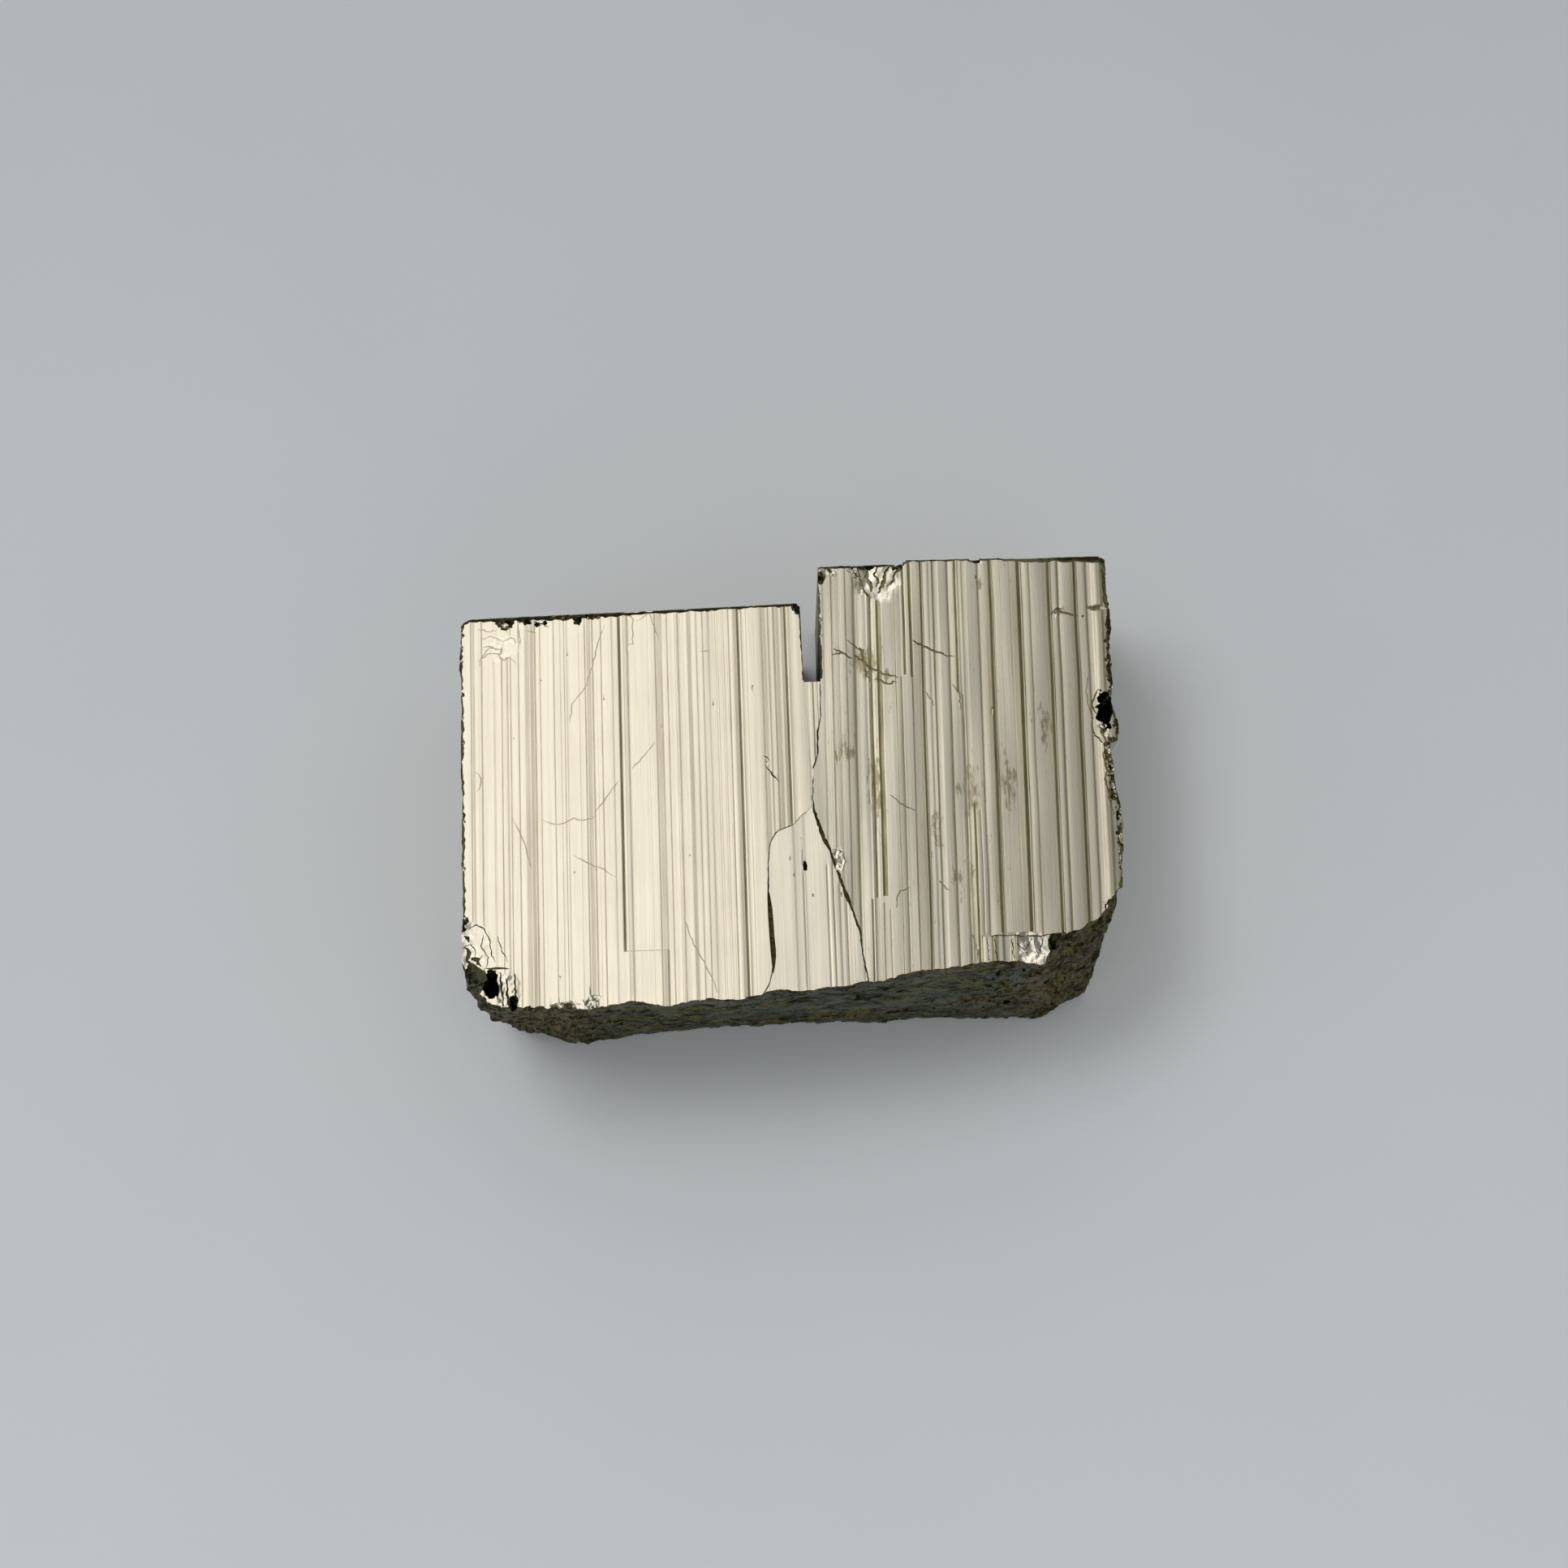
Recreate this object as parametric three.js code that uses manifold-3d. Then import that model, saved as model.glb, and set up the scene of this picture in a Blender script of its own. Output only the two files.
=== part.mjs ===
// A pyrite cluster: striated crystals grown through one another, with a broken front.
//
// It is one solid. Two big crystals stand side by side with a notch between them at the back, a small one
// fills the seam between them at the front, and their front side has broken away in a rough, ledged crust.
// Pyrite's striations turn by a right angle from each cube face to the next: on the top they run along Y,
// on the front and the back along X, and on the two sides along Z.
//
// Millimetres, +Z up. The origin is at the middle of the cluster's box, on the surface that it rests on.
// +Y is the back, with the notch, and -Y is the broken front.
import * as THREE from "three";
import { mergeVertices } from "three/addons/utils/BufferGeometryUtils.js";
import Module from "manifold-3d";

const wasm = await Module();
wasm.setup();

// ---- Driving dimensions -------------------------------------------------------------------------
const HALF_LENGTH = 20.1; // the cluster's box, along X
const HALF_DEPTH = 13.85; // along Y
const HEIGHT = 14.2; // along Z, up to the highest striation
const LEFT_TOP = 14.0; // height of the left crystal's growth face
const RIGHT_TOP = 14.05; // height of the right crystal's, at its middle
const SEAM_TOP = 13.82; // height of the small crystal between them
const STEP_TOP = 13.4; // height of the narrow step at the head of the seam
const LEFT_BACK = 11.0; // how far back the left crystal reaches
const RIGHT_BACK = 13.85; // how far back the right crystal reaches
const BACK_STEP = 0.24; // how much less far its left part does
const LEFT_SIDE = -20.0; // where the left crystal's left face is
const RISER = 0.1; // how far a striation's riser runs sideways
const WORN_EDGE = 0.26; // the dull bevel along the back edges
const LEFT_BACK_TURN = 1.0; // degrees that the left crystal's back face is turned about Z
const RIGHT_TURN = -0.9; // degrees that the right crystal's striations are turned about Z
const RIGHT_TILT = 0.8; // degrees that its top falls towards +X
const SEED = 5;
const PAST = 2; // how far a cutting shape runs on past what it cuts

// ---- Small tools --------------------------------------------------------------------------------

// The same stream of numbers from 0 to 1 on every run.
function stream(seed) {
  let state = (seed * 2654435761) >>> 0;
  return () => {
    state = (state * 1664525 + 1013904223) >>> 0;
    return state / 4294967296;
  };
}

// A number from 0 to 1 that belongs to a point, so that equal points get equal numbers.
function grain(x, y, z, seed) {
  const wave = Math.sin(x * 12.9898 + y * 78.233 + z * 37.719 + seed * 4.581) * 43758.5453;
  return wave - Math.floor(wave);
}

const vectors = (outline) => outline.map(([a, b]) => new THREE.Vector2(a, b));
const swapped = (line) => line.map(([a, b]) => [b, a]);

// A closed geometry as a solid that can be joined and cut.
function solidOf(geometry) {
  const bare = geometry.clone();
  bare.deleteAttribute("normal");
  bare.deleteAttribute("uv");
  const merged = mergeVertices(bare, 1e-4);
  return new wasm.Manifold(
    new wasm.Mesh({
      numProp: 3,
      vertProperties: new Float32Array(merged.attributes.position.array),
      triVerts: new Uint32Array(merged.index.array),
    }),
  );
}

const joined = (solids) => solids.reduce((all, next) => all.add(next));

// An outline in the plane across an axis, drawn out along it. Across "z" the outline is (x, y), across "y"
// it is (x, z), and across "x" it is (y, z).
function prism(axis, outline, from, to) {
  const shape = new THREE.Shape(vectors(outline));
  const geometry = new THREE.ExtrudeGeometry(shape, { depth: to - from, bevelEnabled: false });
  if (axis === "y") {
    return geometry.translate(0, 0, -to).rotateX(Math.PI / 2);
  }
  geometry.translate(0, 0, from);
  if (axis === "x") {
    geometry.applyMatrix4(new THREE.Matrix4().set(0, 0, 1, 0, 1, 0, 0, 0, 0, 1, 0, 0, 0, 0, 0, 1));
  }
  return geometry;
}

// A line of ledges: each [start, level] holds its level up to the next one, where a short riser leads on.
function ledged(ledges, end) {
  const line = [ledges[0]];
  for (let i = 1; i < ledges.length; i += 1) {
    line.push([ledges[i][0] - RISER / 2, ledges[i - 1][1]]);
    line.push([ledges[i][0] + RISER / 2, ledges[i][1]]);
  }
  line.push([end, ledges[ledges.length - 1][1]]);
  return line;
}

// Everything that lies under a striated top: ledges are [x, height].
function underTop(ledges, end) {
  const foot = -PAST;
  const outline = [...ledged(ledges, end), [end, foot], [ledges[0][0], foot]];
  return prism("y", outline, -HALF_DEPTH - PAST, HALF_DEPTH + PAST);
}

// Everything in front of a striated back, whose top edge is worn to a bevel: ledges are [height, y].
function beforeBack(ledges, back) {
  const outline = [
    [-HALF_DEPTH - PAST, -PAST],
    [-HALF_DEPTH - PAST, HEIGHT + PAST],
    [back - WORN_EDGE - PAST, HEIGHT + PAST],
    ...swapped(ledged(ledges, LEFT_TOP - WORN_EDGE)).reverse(),
  ];
  return prism("x", outline, -HALF_LENGTH - PAST, HALF_LENGTH + PAST);
}

// A lumpy pebble of a few dozen facets: centre, half sizes, and how finely it is faceted.
function lump([x, y, z], [rx, ry, rz], seed, detail = 1, unevenness = 0.35) {
  const geometry = new THREE.IcosahedronGeometry(1, detail);
  const place = geometry.attributes.position;
  const point = new THREE.Vector3();
  for (let i = 0; i < place.count; i += 1) {
    point.fromBufferAttribute(place, i);
    const [a, b, c] = point.toArray().map((value) => Math.round(value * 1000) / 1000);
    point.multiplyScalar(1 + unevenness * (grain(a, b, c, seed) - 0.5));
    place.setXYZ(i, x + rx * point.x, y + ry * point.y, z + rz * point.z);
  }
  return solidOf(geometry);
}

// ---- The crystals -------------------------------------------------------------------------------

// The seam from the notch to the front: what is left of it belongs to the left crystal.
const leftSeam = [
  [0.84, 11.6],
  [0.91, 6.46],
  [1.18, 0.24],
  [1.16, -1.4],
  [-0.1, -2.57],
  [-1.1, -2.95],
  [-1.5, -3.6],
  [-1.64, -4.67],
  [-1.7, -6.65],
  [-1.6, -10.6],
  [-2.2, -HALF_DEPTH - PAST],
];

// The crack on the seam's other side, as [x, y, width]: what is right of it is the right crystal.
const crackPath = [
  [1.25, 0.24, 0.1],
  [1.2, -1.3, 0.14],
  [1.45, -2.5, 0.22],
  [1.8, -3.5, 0.3],
  [2.08, -4.3, 0.22],
  [2.84, -7.3, 0.2],
  [3.52, -9.4, 0.12],
  [3.57, -10.8, 0.1],
  [4.05, -HALF_DEPTH - PAST, 0.12],
];
const rightSeam = [
  [2.08, HALF_DEPTH + PAST],
  [1.95, 6.4],
  [1.9, 4.1],
  [1.66, 3.3],
  [1.6, 1.7],
  ...crackPath.map(([x, y]) => [x, y]),
];

// The left crystal stands straight. Its left face is ledged along Z and its back along X.
function leftCrystal() {
  const side = [
    [-10, LEFT_SIDE + 0.25],
    [-8.6, LEFT_SIDE + 0.05],
    [-5.2, LEFT_SIDE + 0.14],
    [-3.1, LEFT_SIDE],
    [-0.6, LEFT_SIDE - 0.1],
    [0.8, LEFT_SIDE + 0.02],
    [2.2, LEFT_SIDE + 0.16],
    [3.4, LEFT_SIDE + 0.04],
    [6.6, LEFT_SIDE + 0.12],
    [8.0, LEFT_SIDE - 0.04],
    [9.6, LEFT_SIDE + 0.06],
  ];
  const back = [
    [-PAST, LEFT_BACK - 0.12],
    [1.2, LEFT_BACK - 0.02],
    [2.4, LEFT_BACK + 0.06],
    [4.1, LEFT_BACK - 0.1],
    [5.6, LEFT_BACK],
    [7.4, LEFT_BACK + 0.06],
    [9.0, LEFT_BACK - 0.06],
    [10.3, LEFT_BACK + 0.02],
    [11.9, LEFT_BACK - 0.02],
  ];
  const plan = [...leftSeam.slice(0, 9), [-1.7, -10], ...swapped(ledged(side, 11.6))];
  const turned = beforeBack(back, LEFT_BACK)
    .translate(-LEFT_SIDE, -LEFT_BACK, 0)
    .rotateZ(THREE.MathUtils.degToRad(LEFT_BACK_TURN))
    .translate(LEFT_SIDE, LEFT_BACK, 0);
  return solidOf(prism("z", plan, 0, HEIGHT + PAST)).intersect(solidOf(turned));
}

// Its top is a broad, nearly even face.
function leftTop() {
  const ledges = [
    [-HALF_LENGTH - PAST, LEFT_TOP - 0.26],
    [-19.9, LEFT_TOP - 0.07],
    [-19.16, LEFT_TOP],
    [-16.9, LEFT_TOP - 0.1],
    [-16.15, LEFT_TOP - 0.22],
    [-15.56, LEFT_TOP - 0.04],
    [-12.4, LEFT_TOP - 0.12],
    [-11.9, LEFT_TOP - 0.02],
    [-10.3, LEFT_TOP - 0.2],
    [-9.8, LEFT_TOP - 0.1],
    [-7.9, LEFT_TOP],
    [-4.7, LEFT_TOP - 0.07],
    [-2.98, LEFT_TOP - 0.26],
    [-2.7, LEFT_TOP - 0.08],
    [-0.8, LEFT_TOP - 0.18],
    [-0.05, LEFT_TOP],
  ];
  const away = -HALF_LENGTH - PAST;
  const region = [...leftSeam, [away, -HALF_DEPTH - PAST], [away, 11.6]];
  return solidOf(underTop(ledges, 3)).intersect(solidOf(prism("z", region, -PAST, HEIGHT + PAST)));
}

// The right crystal stands further back, and its right face is crumbled.
function rightCrystal() {
  const side = [
    [19.2, -7.4],
    [19.55, -6.6],
    [HALF_LENGTH, -3.9],
    [19.8, -1.6],
    [19.45, -0.4],
    [19.4, 2.6],
    [19.62, 4.6],
    [19.62, 6.6],
    [19.78, 6.8],
    [19.78, 9.2],
    [19.9, 9.4],
    [19.84, RIGHT_BACK],
  ];
  const back = [
    [-PAST, RIGHT_BACK - 0.2],
    [1.9, RIGHT_BACK + 0.04],
    [3.4, RIGHT_BACK - 0.14],
    [4.6, RIGHT_BACK - 0.04],
    [6.3, RIGHT_BACK + 0.02],
    [7.7, RIGHT_BACK - 0.08],
    [9.4, RIGHT_BACK - 0.16],
    [10.8, RIGHT_BACK - 0.04],
    [12.4, RIGHT_BACK],
  ];
  const leftPart = [
    [7.4, RIGHT_BACK],
    [7.3, RIGHT_BACK - BACK_STEP],
    [2.07, RIGHT_BACK - BACK_STEP],
  ];
  const plan = [...rightSeam.slice(1, 11), [3.6, -10], ...side, ...leftPart];
  return solidOf(prism("z", plan, 0, HEIGHT + PAST)).intersect(solidOf(beforeBack(back, RIGHT_BACK)));
}

// Its top falls a little to the right, and its ridges are higher and stand a little askew.
function rightTop() {
  const ledges = [
    [-3, RIGHT_TOP + 0.05],
    [1.1, RIGHT_TOP],
    [3.9, RIGHT_TOP - 0.14],
    [4.6, RIGHT_TOP],
    [5.0, RIGHT_TOP - 0.32],
    [5.55, RIGHT_TOP - 0.1],
    [7.0, RIGHT_TOP - 0.24],
    [7.62, RIGHT_TOP + 0.05],
    [8.25, RIGHT_TOP - 0.2],
    [8.95, RIGHT_TOP],
    [10.45, RIGHT_TOP - 0.18],
    [11.6, RIGHT_TOP - 0.04],
    [12.5, RIGHT_TOP - 0.28],
    [12.8, RIGHT_TOP + 0.05],
    [14.05, RIGHT_TOP - 0.3],
    [14.35, RIGHT_TOP + 0.1],
    [16.1, RIGHT_TOP - 0.24],
    [16.5, RIGHT_TOP - 0.02],
    [17.7, RIGHT_TOP - 0.34],
    [18.6, RIGHT_TOP - 0.1],
  ];
  const [middleX, middleY] = [11, 2];
  const striated = underTop(ledges, HALF_LENGTH + PAST)
    .translate(-middleX, -middleY, -RIGHT_TOP)
    .rotateY(THREE.MathUtils.degToRad(RIGHT_TILT))
    .rotateZ(THREE.MathUtils.degToRad(RIGHT_TURN))
    .translate(middleX, middleY, RIGHT_TOP);
  const away = HALF_LENGTH + PAST;
  const region = [...rightSeam, [away, -HALF_DEPTH - PAST], [away, HALF_DEPTH + PAST]];
  return solidOf(striated).intersect(solidOf(prism("z", region, -PAST, HEIGHT + PAST)));
}

// The small crystal lies a little lower than its neighbours, so that the seam shows as a fine riser along
// each side of it. At its head a narrow step lies lower still and closes the foot of the notch.
function seamTop() {
  const front = -HALF_DEPTH - PAST;
  const crystal = [
    [0.2, -1.9],
    [1.9, -0.6],
    [2.8, -3.9],
    [3.6, -7.3],
    [4.4, -9.3],
    [4.8, front],
    [-2.8, front],
    [-2.2, -4.4],
    [-1.4, -2.4],
  ];
  const step = [
    [0.2, -1.5],
    [2.4, -1.5],
    [2.6, 6.44],
    [0.2, 6.46],
  ];
  return joined([
    solidOf(prism("z", crystal, -PAST, SEAM_TOP)),
    solidOf(prism("z", step, -PAST, STEP_TOP)),
  ]);
}

// ---- The broken front ---------------------------------------------------------------------------

// Outlines of the front in plan, from the left side round to the right, at four heights. The foot bulges at
// the left end. The right crystal's edge has broken back in steps, and the right end slopes.
const frontOutlines = [
  {
    height: 0,
    outline: [
      [-19.4, -7.6], [-19.2, -10.8], [-17.4, -12.6], [-16.0, -13.2], [-13.9, -13.8], [-12.1, -13.5],
      [-8.5, -12.95], [-4.4, -12.75], [6.1, -12.7], [15.5, -12.82], [16.9, -12.3], [18.8, -11.4],
      [19.6, -10.1], [19.6, -7.8],
    ],
  },
  {
    height: 6.6,
    outline: [
      [-20.0, -7.6], [-20.0, -11.3], [-18.9, -12.75], [-17.4, -12.9], [-13.9, -13.2], [-12.1, -13.0],
      [-8.5, -12.9], [-4.4, -12.75], [6.1, -12.65], [14.4, -12.5], [16.4, -11.6], [18.2, -10.3],
      [19.5, -8.8], [19.9, -6.4],
    ],
  },
  {
    height: 10.4,
    outline: [
      [-20.0, -7.6], [-20.0, -10.9], [-19.3, -12.3], [-18.3, -13.2], [-16.4, -13.15], [-12.1, -12.95],
      [-8.5, -12.9], [-4.4, -12.8], [5.2, -12.25], [12.4, -11.9], [15.4, -10.7], [17.6, -9.7],
      [19.3, -8.2], [19.9, -6.2],
    ],
  },
  {
    height: HEIGHT,
    outline: [
      [-19.7, -7.6], [-18.7, -10.4], [-17.2, -12.7], [-16.4, -13.0], [-13.9, -13.1], [-12.1, -13.05],
      [-7.5, -13.0], [-4.0, -12.85], [4.0, -12.3], [10.4, -11.25], [14.9, -9.85], [17.1, -9.2],
      [18.7, -8.2], [19.6, -6.6],
    ],
  },
];

// Growth ledges across the front: each row of the crust is [height, how far it is set out].
const frontRows = [
  [0, -0.1],
  [1.5, 0],
  [3.05, 0.04],
  [3.2, -0.12],
  [4.7, -0.08],
  [5.9, -0.1],
  [6.05, 0.1],
  [7.6, 0.05],
  [9.05, 0.02],
  [9.2, -0.16],
  [10.6, -0.12],
  [11.7, -0.1],
  [11.85, 0.06],
  [13.2, 0],
  [HEIGHT + PAST, 0],
];

// The front's outline at a height between two of those above: along runs from 0 to 1, left to right.
function frontSpot(along, height) {
  const above = Math.max(1, frontOutlines.findIndex((row) => row.height >= Math.min(height, HEIGHT)));
  const [low, high] = frontOutlines.slice(above - 1, above + 1);
  const share = Math.min(1, (height - low.height) / (high.height - low.height));
  const lowSpot = new THREE.Path(vectors(low.outline)).getPointAt(along);
  return lowSpot.lerp(new THREE.Path(vectors(high.outline)).getPointAt(along), share);
}

// The crust is a block whose front follows those outlines, with every corner of its facets pushed in or
// out a little: least along the middle, where the growth ledges show, and most at the two broken ends.
function brokenFront() {
  const columns = 62;
  const rows = frontRows.length - 1;
  const innerY = -6;
  const innerHalf = 18;
  const crust = new THREE.BoxGeometry(1, 1, 1, columns, 1, rows);
  const place = crust.attributes.position;
  for (let i = 0; i < place.count; i += 1) {
    const along = place.getX(i) + 0.5;
    const row = Math.round((place.getZ(i) + 0.5) * rows);
    const [height, setOut] = frontRows[row];
    if (place.getY(i) > 0) {
      place.setXYZ(i, (2 * along - 1) * innerHalf, innerY, height);
      continue;
    }
    const spot = frontSpot(along, height);
    const roughness = 0.12 + 0.3 * THREE.MathUtils.smoothstep(Math.abs(along - 0.52), 0.12, 0.4);
    const unevenness = 2 * grain(Math.round(along * columns), row, 0, SEED) - 1;
    const push = height > HEIGHT ? 0 : setOut + roughness * unevenness;
    place.setXYZ(i, spot.x + 0.4 * push * Math.sign(spot.x), spot.y - push, height);
  }
  return solidOf(crust);
}

// Grains that stand out of the crust on the broken right end, along its length and down its slope.
function endGrains() {
  const next = stream(SEED);
  const head = new THREE.Vector3(15.0, -10.2, 12.9);
  const foot = new THREE.Vector3(15.8, -12.6, 0.9);
  const length = new THREE.Vector3(3.7, 2.8, 0);
  const grains = [];
  for (let i = 0; i < 44; i += 1) {
    const size = 0.42 + 0.5 * next();
    const place = head.clone().lerp(foot, next()).addScaledVector(length, next());
    const half = [size * (1 + 0.4 * next()), size * 0.8, size * (0.8 + 0.4 * next())];
    grains.push(lump(place.toArray(), half, i, 0, 0.5));
  }
  return grains;
}

// Grains along the front's lower band, thick at the left end and thinning out to the right.
function frontGrains() {
  const next = stream(SEED + 20);
  const grains = [];
  for (let i = 0; i < 34; i += 1) {
    const share = next() ** 1.5;
    const size = 0.4 + 0.45 * next();
    const bulge = 0.7 * Math.max(0, 0.6 - 2 * share);
    const place = [-17.2 + 31 * share, -12.6 - bulge, 0.8 + 6.2 * next()];
    grains.push(lump(place, [size * 1.3, size * 0.7, size * 0.9], i, 0, 0.5));
  }
  return grains;
}

// ---- What has broken away -----------------------------------------------------------------------

// A thin slot that follows the crack.
function openCrack() {
  const sides = [[], []];
  crackPath.forEach(([x, y, width], i) => {
    const before = crackPath[Math.max(i - 1, 0)];
    const after = crackPath[Math.min(i + 1, crackPath.length - 1)];
    const along = new THREE.Vector2(after[0] - before[0], after[1] - before[1]).normalize();
    sides[0].push([x - (along.y * width) / 2, y + (along.x * width) / 2]);
    sides[1].push([x + (along.y * width) / 2, y - (along.x * width) / 2]);
  });
  return solidOf(prism("z", [...sides[0], ...sides[1].reverse()], 12.6, HEIGHT + PAST));
}

// Places cut straight down into the top: the gap beside the small crystal, two strips that lie lower
// between striations, and the flat floor of a chip at the right crystal's front edge.
const sunkenPlaces = [
  {
    floor: 9.5,
    outline: [
      [-1.72, -6.4], [-1.44, -7.4], [-1.3, -8.9], [-1.3, -10.4], [-1.52, -11.5], [-1.62, -10.2],
      [-1.66, -8.0],
    ],
  },
  {
    floor: LEFT_TOP - 0.18,
    outline: [[-10.36, 11.4], [-10.3, -9.9], [-8.9, -9.86], [-7.75, -9.55], [-7.86, 11.4]],
  },
  {
    floor: RIGHT_TOP - 0.37,
    outline: [[4.96, 11.6], [5.52, 11.5], [5.34, -7.1], [4.86, -7.3]],
  },
  {
    floor: 13.1,
    outline: [[11.0, -9.7], [14.6, -9.76], [14.9, -13.0], [10.6, -13.0]],
  },
];

// Chips out of the edges: centre and half sizes of each.
const chips = [
  // the broken corner at the left end of the front
  [[-19.3, -7.6, 14.4], [0.75, 0.8, 1.1]],
  [[-19.3, -9.9, 14.5], [1.4, 2.0, 1.4]],
  [[-17.9, -12.4, 14.6], [1.0, 1.5, 2.0]],
  [[-18.15, -11.7, 13.2], [0.45, 0.95, 3.0]],
  [[-19.9, -12.9, 13.6], [1.4, 1.3, 3.0]],
  [[-18.7, -13.6, 9.8], [1.1, 0.7, 1.5]],
  // the hollow and the bites in the right side
  [[19.5, 3.7, 13.4], [0.62, 1.25, 2.6]],
  [[20.0, 10.5, 14.1], [0.5, 0.35, 0.7]],
  [[19.9, 0.6, 14.3], [0.55, 1.5, 0.9]],
  [[20.1, -4.4, 14.4], [0.5, 1.3, 1.2]],
  // the right crystal's back edge
  [[6.0, 13.8, 14.4], [1.5, 1.15, 0.9]],
  [[4.2, 13.9, 14.5], [1.7, 0.7, 0.7]],
  [[2.3, 13.4, 14.3], [0.5, 0.7, 0.8]],
  [[11.8, 13.7, 14.5], [1.1, 0.45, 0.8]],
  // the left crystal's back and left edges
  [[0.9, 11.1, 14.3], [0.5, 0.7, 0.9]],
  [[-17.1, 11.0, 14.5], [1.0, 0.6, 0.75]],
  [[-13.2, 11.0, 14.45], [1.2, 0.45, 0.7]],
  [[-20.0, 8.6, 14.1], [0.4, 0.9, 0.7]],
  [[-20.05, 2.2, 14.2], [0.4, 1.3, 0.7]],
  [[-20.05, -1.4, 14.1], [0.42, 0.8, 0.8]],
  // the broken right end
  [[15.6, -10.6, 13.0], [0.9, 0.8, 0.7]],
  [[18.9, -8.4, 12.6], [0.5, 0.7, 0.8]],
];

// Shallow hollows under the cluster, so that it rests on worn patches between them.
const hollows = [
  [[-12.5, -6.5, 0], [5.2, 3.6, 0.55]],
  [[-9.5, 5.6, 0], [4.6, 3.2, 0.5]],
  [[9.5, -6.4, 0], [5.6, 3.4, 0.6]],
  [[12.4, 6.4, 0], [4.2, 4.8, 0.45]],
];

// Bites all along the foot.
function footBites() {
  const next = stream(SEED + 60);
  const foot = [
    [-19.8, -9.5], [-16.5, -13.5], [-5, -13.2], [15.5, -13.3], [20, -10], [20.2, 13.6], [2, 14],
    [0, 11.4], [-20, 11.2], [-19.8, -9.5],
  ];
  return new THREE.Path(vectors(foot)).getSpacedPoints(26).map((place, i) => {
    const half = [1.6 + 1.6 * next(), 1.2 + 0.8 * next(), 0.5 + 0.9 * next()];
    return lump([place.x, place.y, -0.1], half, i + 70, 1, 0.4);
  });
}

// ---- The cluster --------------------------------------------------------------------------------

// The box that the whole cluster just fits.
function clusterBox() {
  const corners = [[-1, -1], [1, -1], [1, 1], [-1, 1]].map(([x, y]) => [x * HALF_LENGTH, y * HALF_DEPTH]);
  return solidOf(prism("z", corners, 0, HEIGHT));
}

// What the crystals share: the body of the small one, and the root that ties all of them together.
function sharedRoot() {
  const seamBody = [
    [-3, 5],
    [-3, -10],
    [5, -10],
    [5, 5],
    [1.95, 6.44],
    [0.85, 6.46],
  ];
  const root = [
    [-19.4, -8],
    [19.2, -7.4],
    [19.2, 5],
    [19.4, 12.4],
    [2.6, 12.4],
    [2.2, 6],
    [0.8, 6],
    [0.4, 9.8],
    [-19.4, 9.8],
  ];
  return solidOf(prism("z", seamBody, 0, HEIGHT)).add(solidOf(prism("z", root, 0, 8)));
}

function geometryOf(solid) {
  const { vertProperties, triVerts, numProp } = solid.getMesh();
  const places = new Float32Array((vertProperties.length / numProp) * 3);
  for (let i = 0; i < places.length / 3; i += 1) {
    places.set(vertProperties.subarray(i * numProp, i * numProp + 3), i * 3);
  }
  const geometry = new THREE.BufferGeometry();
  geometry.setAttribute("position", new THREE.BufferAttribute(places, 3));
  geometry.setIndex(new THREE.BufferAttribute(new Uint32Array(triVerts), 1));
  geometry.computeVertexNormals();
  return geometry;
}

const mass = joined([
  leftCrystal(),
  rightCrystal(),
  brokenFront(),
  sharedRoot(),
  ...endGrains(),
  ...frontGrains(),
]);
const tops = joined([leftTop(), rightTop(), seamTop()]);
const broken = joined([
  openCrack(),
  ...sunkenPlaces.map(({ outline, floor }) => solidOf(prism("z", outline, floor, HEIGHT + PAST))),
  ...chips.map(([centre, half], i) => lump(centre, half, SEED + 30 + i)),
  ...hollows.map(([centre, half], i) => lump(centre, half, SEED + 90 + i, 2)),
  ...footBites(),
]);
const cluster = mass.intersect(tops).subtract(broken).intersect(clusterBox());

const pyrite = new THREE.MeshStandardMaterial({
  color: new THREE.Color().setRGB(0.83, 0.79, 0.68, THREE.SRGBColorSpace),
  metalness: 1,
  roughness: 0.25,
});
const mesh = new THREE.Mesh(geometryOf(cluster), pyrite);
mesh.name = "pyrite_cluster";

const group = new THREE.Group();
group.add(mesh);

export default group;
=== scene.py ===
import math
import random

import bpy
import numpy as np
from mathutils import Euler, Matrix, Vector, noise
from mathutils.bvhtree import BVHTree


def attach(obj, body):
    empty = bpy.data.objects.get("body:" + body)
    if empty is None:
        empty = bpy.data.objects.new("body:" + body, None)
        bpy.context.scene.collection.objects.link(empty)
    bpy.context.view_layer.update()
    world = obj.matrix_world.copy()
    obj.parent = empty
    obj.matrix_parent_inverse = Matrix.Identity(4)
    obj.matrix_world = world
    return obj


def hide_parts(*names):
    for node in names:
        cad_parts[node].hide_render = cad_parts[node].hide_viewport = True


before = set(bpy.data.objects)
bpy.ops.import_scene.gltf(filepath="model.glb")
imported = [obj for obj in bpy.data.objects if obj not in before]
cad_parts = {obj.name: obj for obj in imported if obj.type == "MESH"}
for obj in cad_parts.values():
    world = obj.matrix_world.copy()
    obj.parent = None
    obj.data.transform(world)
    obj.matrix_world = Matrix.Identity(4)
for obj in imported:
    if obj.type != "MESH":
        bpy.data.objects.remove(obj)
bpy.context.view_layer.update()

# A pyrite cluster: two big striated crystals grown side by side, a small one in the seam between them,
# and a broken front. The crystals are shaped in millimetres and brought to metres when they are done.
# TOP is the height of the tops, and OVER_TOP is clear above them.
MM = 0.001
TOP = 14.0
OVER_TOP = 16


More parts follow.
